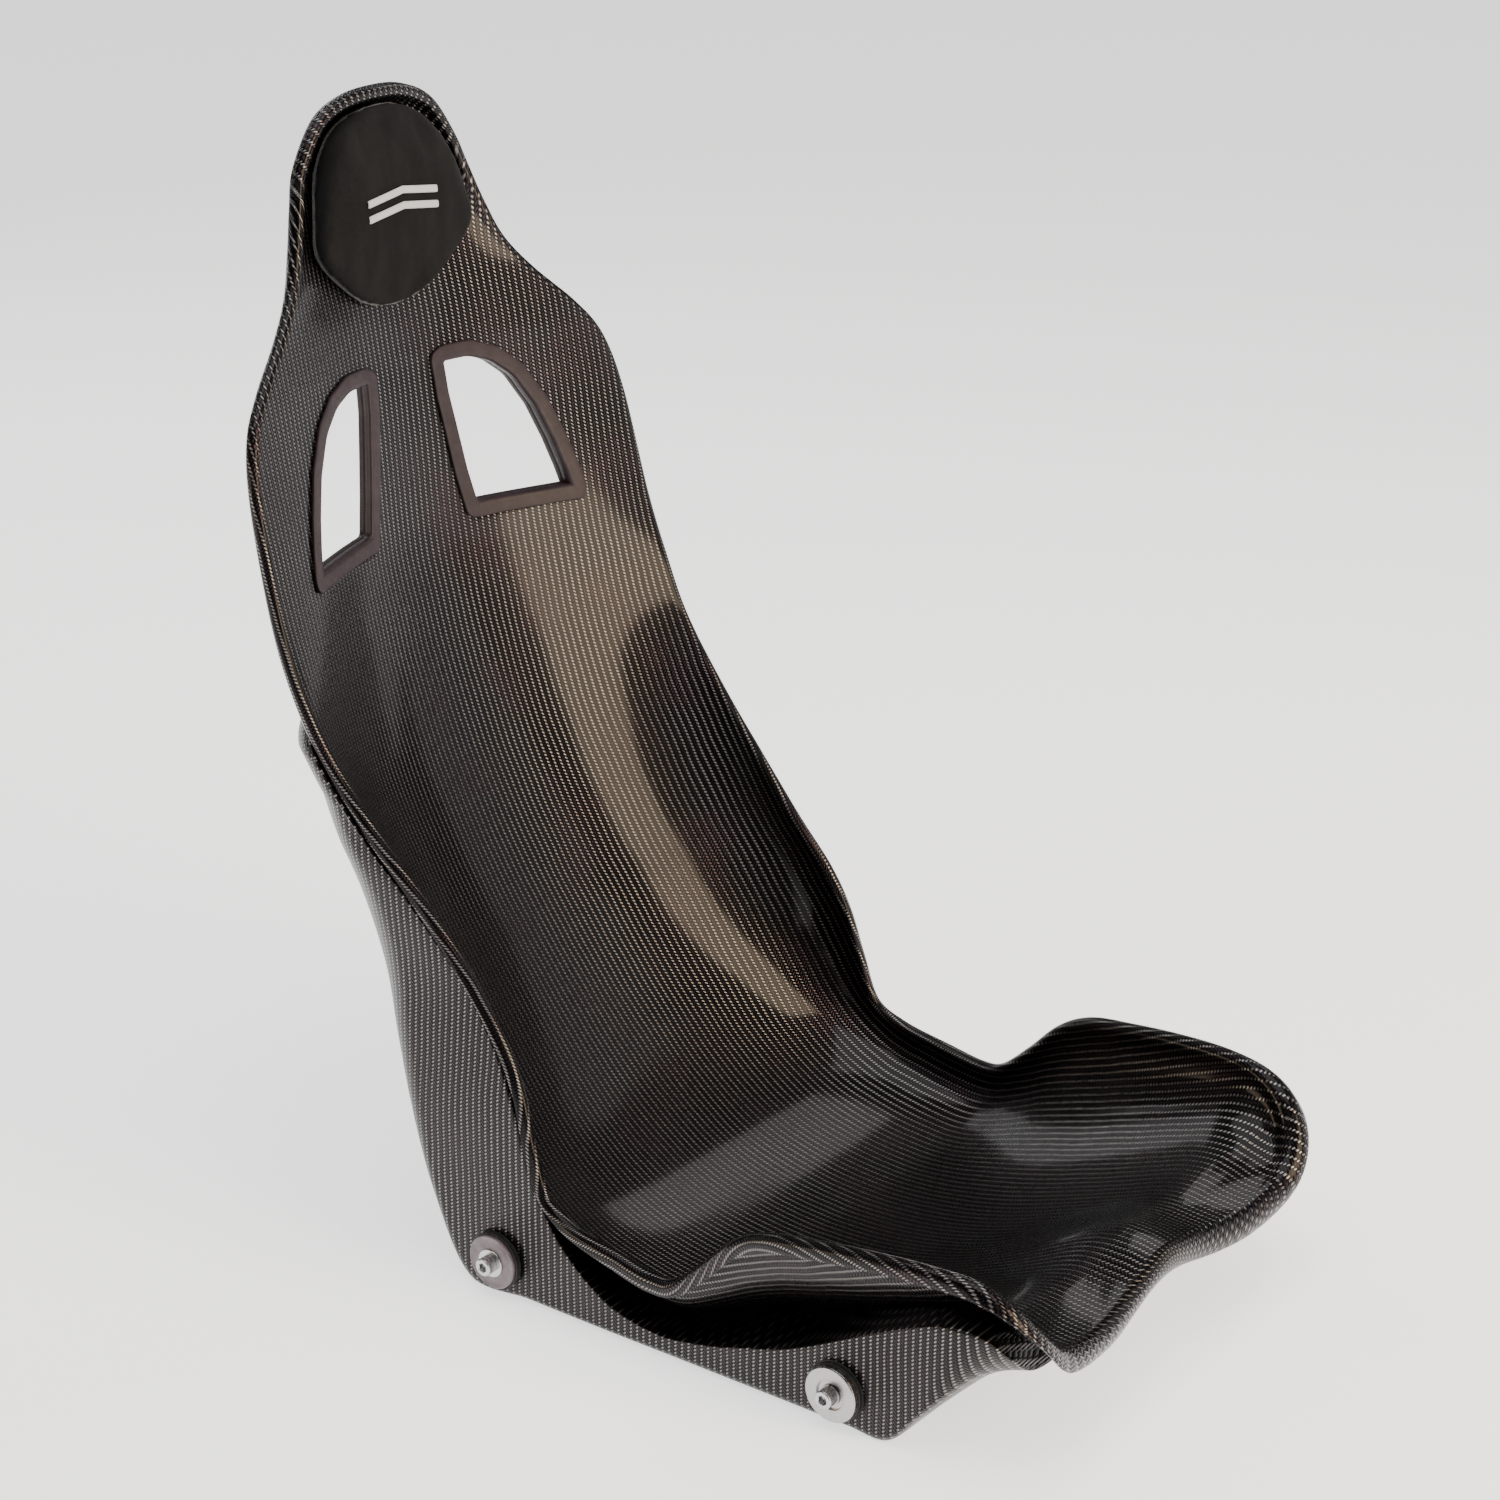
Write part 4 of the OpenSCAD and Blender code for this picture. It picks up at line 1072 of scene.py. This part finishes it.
mark = {
    "halfWidth": 36.0, "dip": 5.0, "band": 4.6, "levels": (705.0, 716.0),
    "thickness": 0.8, "stitch": 0.42,
}


def threadMaterial():
    # satin stitch: close parallel threads, each a small ridge, following the band's own UV map; the colour
    # follows the ridge, so each thread has a painted highlight on its crest and painted shade in the groove
    # beside it
    material, tree, shader = blankMaterial("padMark", {
        "Roughness": 0.5, "Sheen Weight": 0.3, "Sheen Roughness": 0.4})
    uv = addNode(tree, "ShaderNodeUVMap", uv_map="weave").outputs[0]
    parts = addNode(tree, "ShaderNodeSeparateXYZ", {0: uv})
    phase = calc(tree, "MULTIPLY", parts.outputs[0], 2 * math.pi / (mark["stitch"] * mm))
    ridge = calc(tree, "MULTIPLY_ADD", calc(tree, "SINE", phase), 0.5, 0.5)
    # painted highlight and painted shade: the ridge height also sets the tone, light on the crests and dark
    # in the grooves
    tone = colourMix(tree, ridge, (0.36, 0.36, 0.37, 1), (0.78, 0.78, 0.79, 1))
    plug(tree, tone, shader.inputs["Base Color"])
    plug(tree, bump(tree, ridge, 0.00015, 0.8), shader.inputs["Normal"])
    return material


def makeMark():
    # each chevron is a band carried along a shallow V, wrapped onto the pad and given its thickness
    s = np.linspace(-1, 1, 97)[:, None]
    w = np.linspace(-1, 1, 9)[None]
    sheets, blocks, corners = [], [], []
    for number, level in enumerate(mark["levels"]):
        ends = 1 - 0.10 * ease((np.abs(s) - 0.96) / 0.04)
        x = s * mark["halfWidth"] + 0 * w
        z = level + mark["dip"] * (1 - np.abs(s)) - mark["dip"] / 2 + w * mark["band"] / 2 * ends
        y = padFrontY(z) - 20
        sheets.append(np.stack([x, y, z], -1).reshape(-1, 3))
        index = np.arange(x.size).reshape(x.shape)
        quads = stripFaces(index)
        blocks.append(quads[:, ::-1] + number * x.size)
        uv = np.stack([x, z], -1).reshape(-1, 2)
        corners.append(uv[quads[:, ::-1]].reshape(-1, 2))
    padMark = threadMaterial()
    piece = makePiece("padMark", np.vstack(sheets), blocks, padMark, np.vstack(corners))
    wrap = piece.modifiers.new("wrap", "SHRINKWRAP")
    wrap.target = headPad
    wrap.wrap_method = "PROJECT"
    wrap.use_project_y = True
    wrap.use_project_x = wrap.use_project_z = False
    wrap.use_positive_direction, wrap.use_negative_direction = True, False
    settle(piece)
    points = np.zeros(len(piece.data.vertices) * 3)
    piece.data.vertices.foreach_get("co", points)
    points = points.reshape(-1, 3)
    points[:, 1] -= 0.15 * mm + 0.5 * mm * np.tile(1 - w ** 4, (2, 97, 1)).ravel()
    piece.data.vertices.foreach_set("co", points.ravel())
    addSolidify(piece, mark["thickness"])
    settle(piece)
    piece.data.materials.clear()
    piece.data.materials.append(padMark)
    return finishPiece(piece, "head_pad", "pad_mark", "pad_badge")


makeMark()
print("stitched mark made")

# finishes on the CAD pieces that stay


def tapeMaterial(name, tone, tipHighlightTone, scale, rise):
    # a bed of tiny hooks or loops: cells whose raised tips are painted lighter, a painted highlight over the
    # darker base tone
    material, tree, shader = blankMaterial(name, {
        "Roughness": 0.8, "Sheen Weight": 0.3, "Sheen Roughness": 0.5})
    point = objectPoint(tree)
    cells = addNode(tree, "ShaderNodeTexVoronoi", {"Vector": point, "Scale": scale}).outputs["Distance"]
    # painted highlight: the same mask that raises each tip also lightens its colour
    tipRiseAndHighlight = ramp(tree, cells, 0.15, 0.6, 1.0, 0.0)
    plug(tree, colourMix(tree, tipRiseAndHighlight, tone, tipHighlightTone), shader.inputs["Base Color"])
    plug(tree, bump(tree, tipRiseAndHighlight, rise, 0.9), shader.inputs["Normal"])
    return material


def boardMaterial():
    # grey fibre board with flecks
    material, tree, shader = blankMaterial("padBoard", {"Roughness": 0.7})
    point = objectPoint(tree)
    flecks = ramp(tree, noise(tree, point, 500.0, 5.0, 0.7), 0.4, 0.65)
    tone = colourMix(tree, flecks, (0.055, 0.055, 0.058, 1), (0.11, 0.11, 0.115, 1))
    plug(tree, tone, shader.inputs["Base Color"])
    plug(tree, bump(tree, noise(tree, point, 900.0, 3.0), 0.0001, 0.5), shader.inputs["Normal"])
    return material


def dress(node, material):
    nodes[node].data.materials.clear()
    nodes[node].data.materials.append(material)


dress("hook_strips", tapeMaterial("hookTape", (0.010, 0.010, 0.011, 1), (0.05, 0.05, 0.052, 1),
                                  900.0, 0.0004))
dress("loop_strips", tapeMaterial("loopTape", (0.020, 0.020, 0.021, 1), (0.07, 0.07, 0.072, 1),
                                  650.0, 0.0003))
dress("pad_board", boardMaterial())
dress("inserts", turnedMaterial("insertMetal", (0.70, 0.70, 0.72), 0.3, fitting["frontY"], 2000.0))
print("CAD pieces finished")

# camera, floor and lights

view = {
    "place": (-1.7914, -1.2578, 1.2226), "azimuth": -53.351, "elevation": 21.062,
    "lens": 82.34, "sensor": 36.0,
}


def makeCamera():
    a, e = math.radians(view["azimuth"]), math.radians(view["elevation"])
    back = Vector((math.sin(a) * math.cos(e), -math.cos(a) * math.cos(e), math.sin(e)))
    right = Vector((math.cos(a), math.sin(a), 0))
    up = back.cross(right)
    data = bpy.data.cameras.new("camera")
    data.lens, data.sensor_width = view["lens"], view["sensor"]
    data.clip_start, data.clip_end = 0.05, 50
    camera = bpy.data.objects.new("camera", data)
    turn = Matrix((right, up, back)).transposed().to_4x4()
    camera.matrix_world = Matrix.Translation(view["place"]) @ turn
    bpy.context.scene.collection.objects.link(camera)
    bpy.context.scene.camera = camera
    return camera


studio = {
    "world": (0.95, 0.95, 0.96, 1.0), "worldStrength": 0.10,
    "floor": (0.93, 0.93, 0.93, 1.0), "floorGlow": 1.5,
    # name: place, aim, width, height, watts, colour
    "lights": {
        "overhead": ((-0.3, -0.2, 2.8), (0, 0, 0.3), 2.6, 2.2, 60, (1.0, 0.99, 0.98)),
        "warmFront": ((0.16, -2.7, 1.2), (0, 0.1, 0.4), 1.2, 2.3, 100, (1.0, 0.80, 0.56)),
        "farFront": ((2.5, -2.1, 1.3), (0, 0.1, 0.4), 2.2, 2.0, 15, (1.0, 0.97, 0.97)),
        "nearSide": ((-2.7, 1.7, 0.6), (0, 0, 0.15), 1.2, 0.8, 18, (1.0, 0.80, 0.58)),
        "glint": ((1.7, 0.3, 1.8), (0, -0.1, 0.1), 0.8, 1.0, 9, (1.0, 0.97, 0.96)),
        "behind": ((0.6, 2.6, 1.8), (0, 0.1, 0.4), 2.0, 1.4, 26, (1.0, 1.0, 1.0)),
    },
}


def makeLights():
    for name, (place, aim, wide, tall, watts, colour) in studio["lights"].items():
        data = bpy.data.lights.new(name, "AREA")
        data.shape = "RECTANGLE"
        data.size, data.size_y, data.energy, data.color = wide, tall, watts, colour
        lamp = bpy.data.objects.new(name, data)
        lamp.location = place
        lamp.rotation_euler = (Vector(aim) - Vector(place)).to_track_quat("-Z", "Y").to_euler()
        bpy.context.scene.collection.objects.link(lamp)


def makeStage():
    world = bpy.data.worlds.new("studio")
    world.use_nodes = True
    world.node_tree.nodes["Background"].inputs[0].default_value = studio["world"]
    world.node_tree.nodes["Background"].inputs[1].default_value = studio["worldStrength"]
    bpy.context.scene.world = world
    material, tree, shader = blankMaterial("paleFloor", {
        "Roughness": 0.8, "Base Color": studio["floor"], "Emission Color": studio["floor"],
        "Emission Strength": studio["floorGlow"]})
    half = 30000.0
    corners = np.array([[-1, -1, 0], [1, -1, 0], [1, 1, 0], [-1, 1, 0]]) * half
    floor = makePiece("floor", corners, np.array([[0, 1, 2, 3]]), material)


makeCamera()
makeLights()
makeStage()
print("camera, lights and floor made")
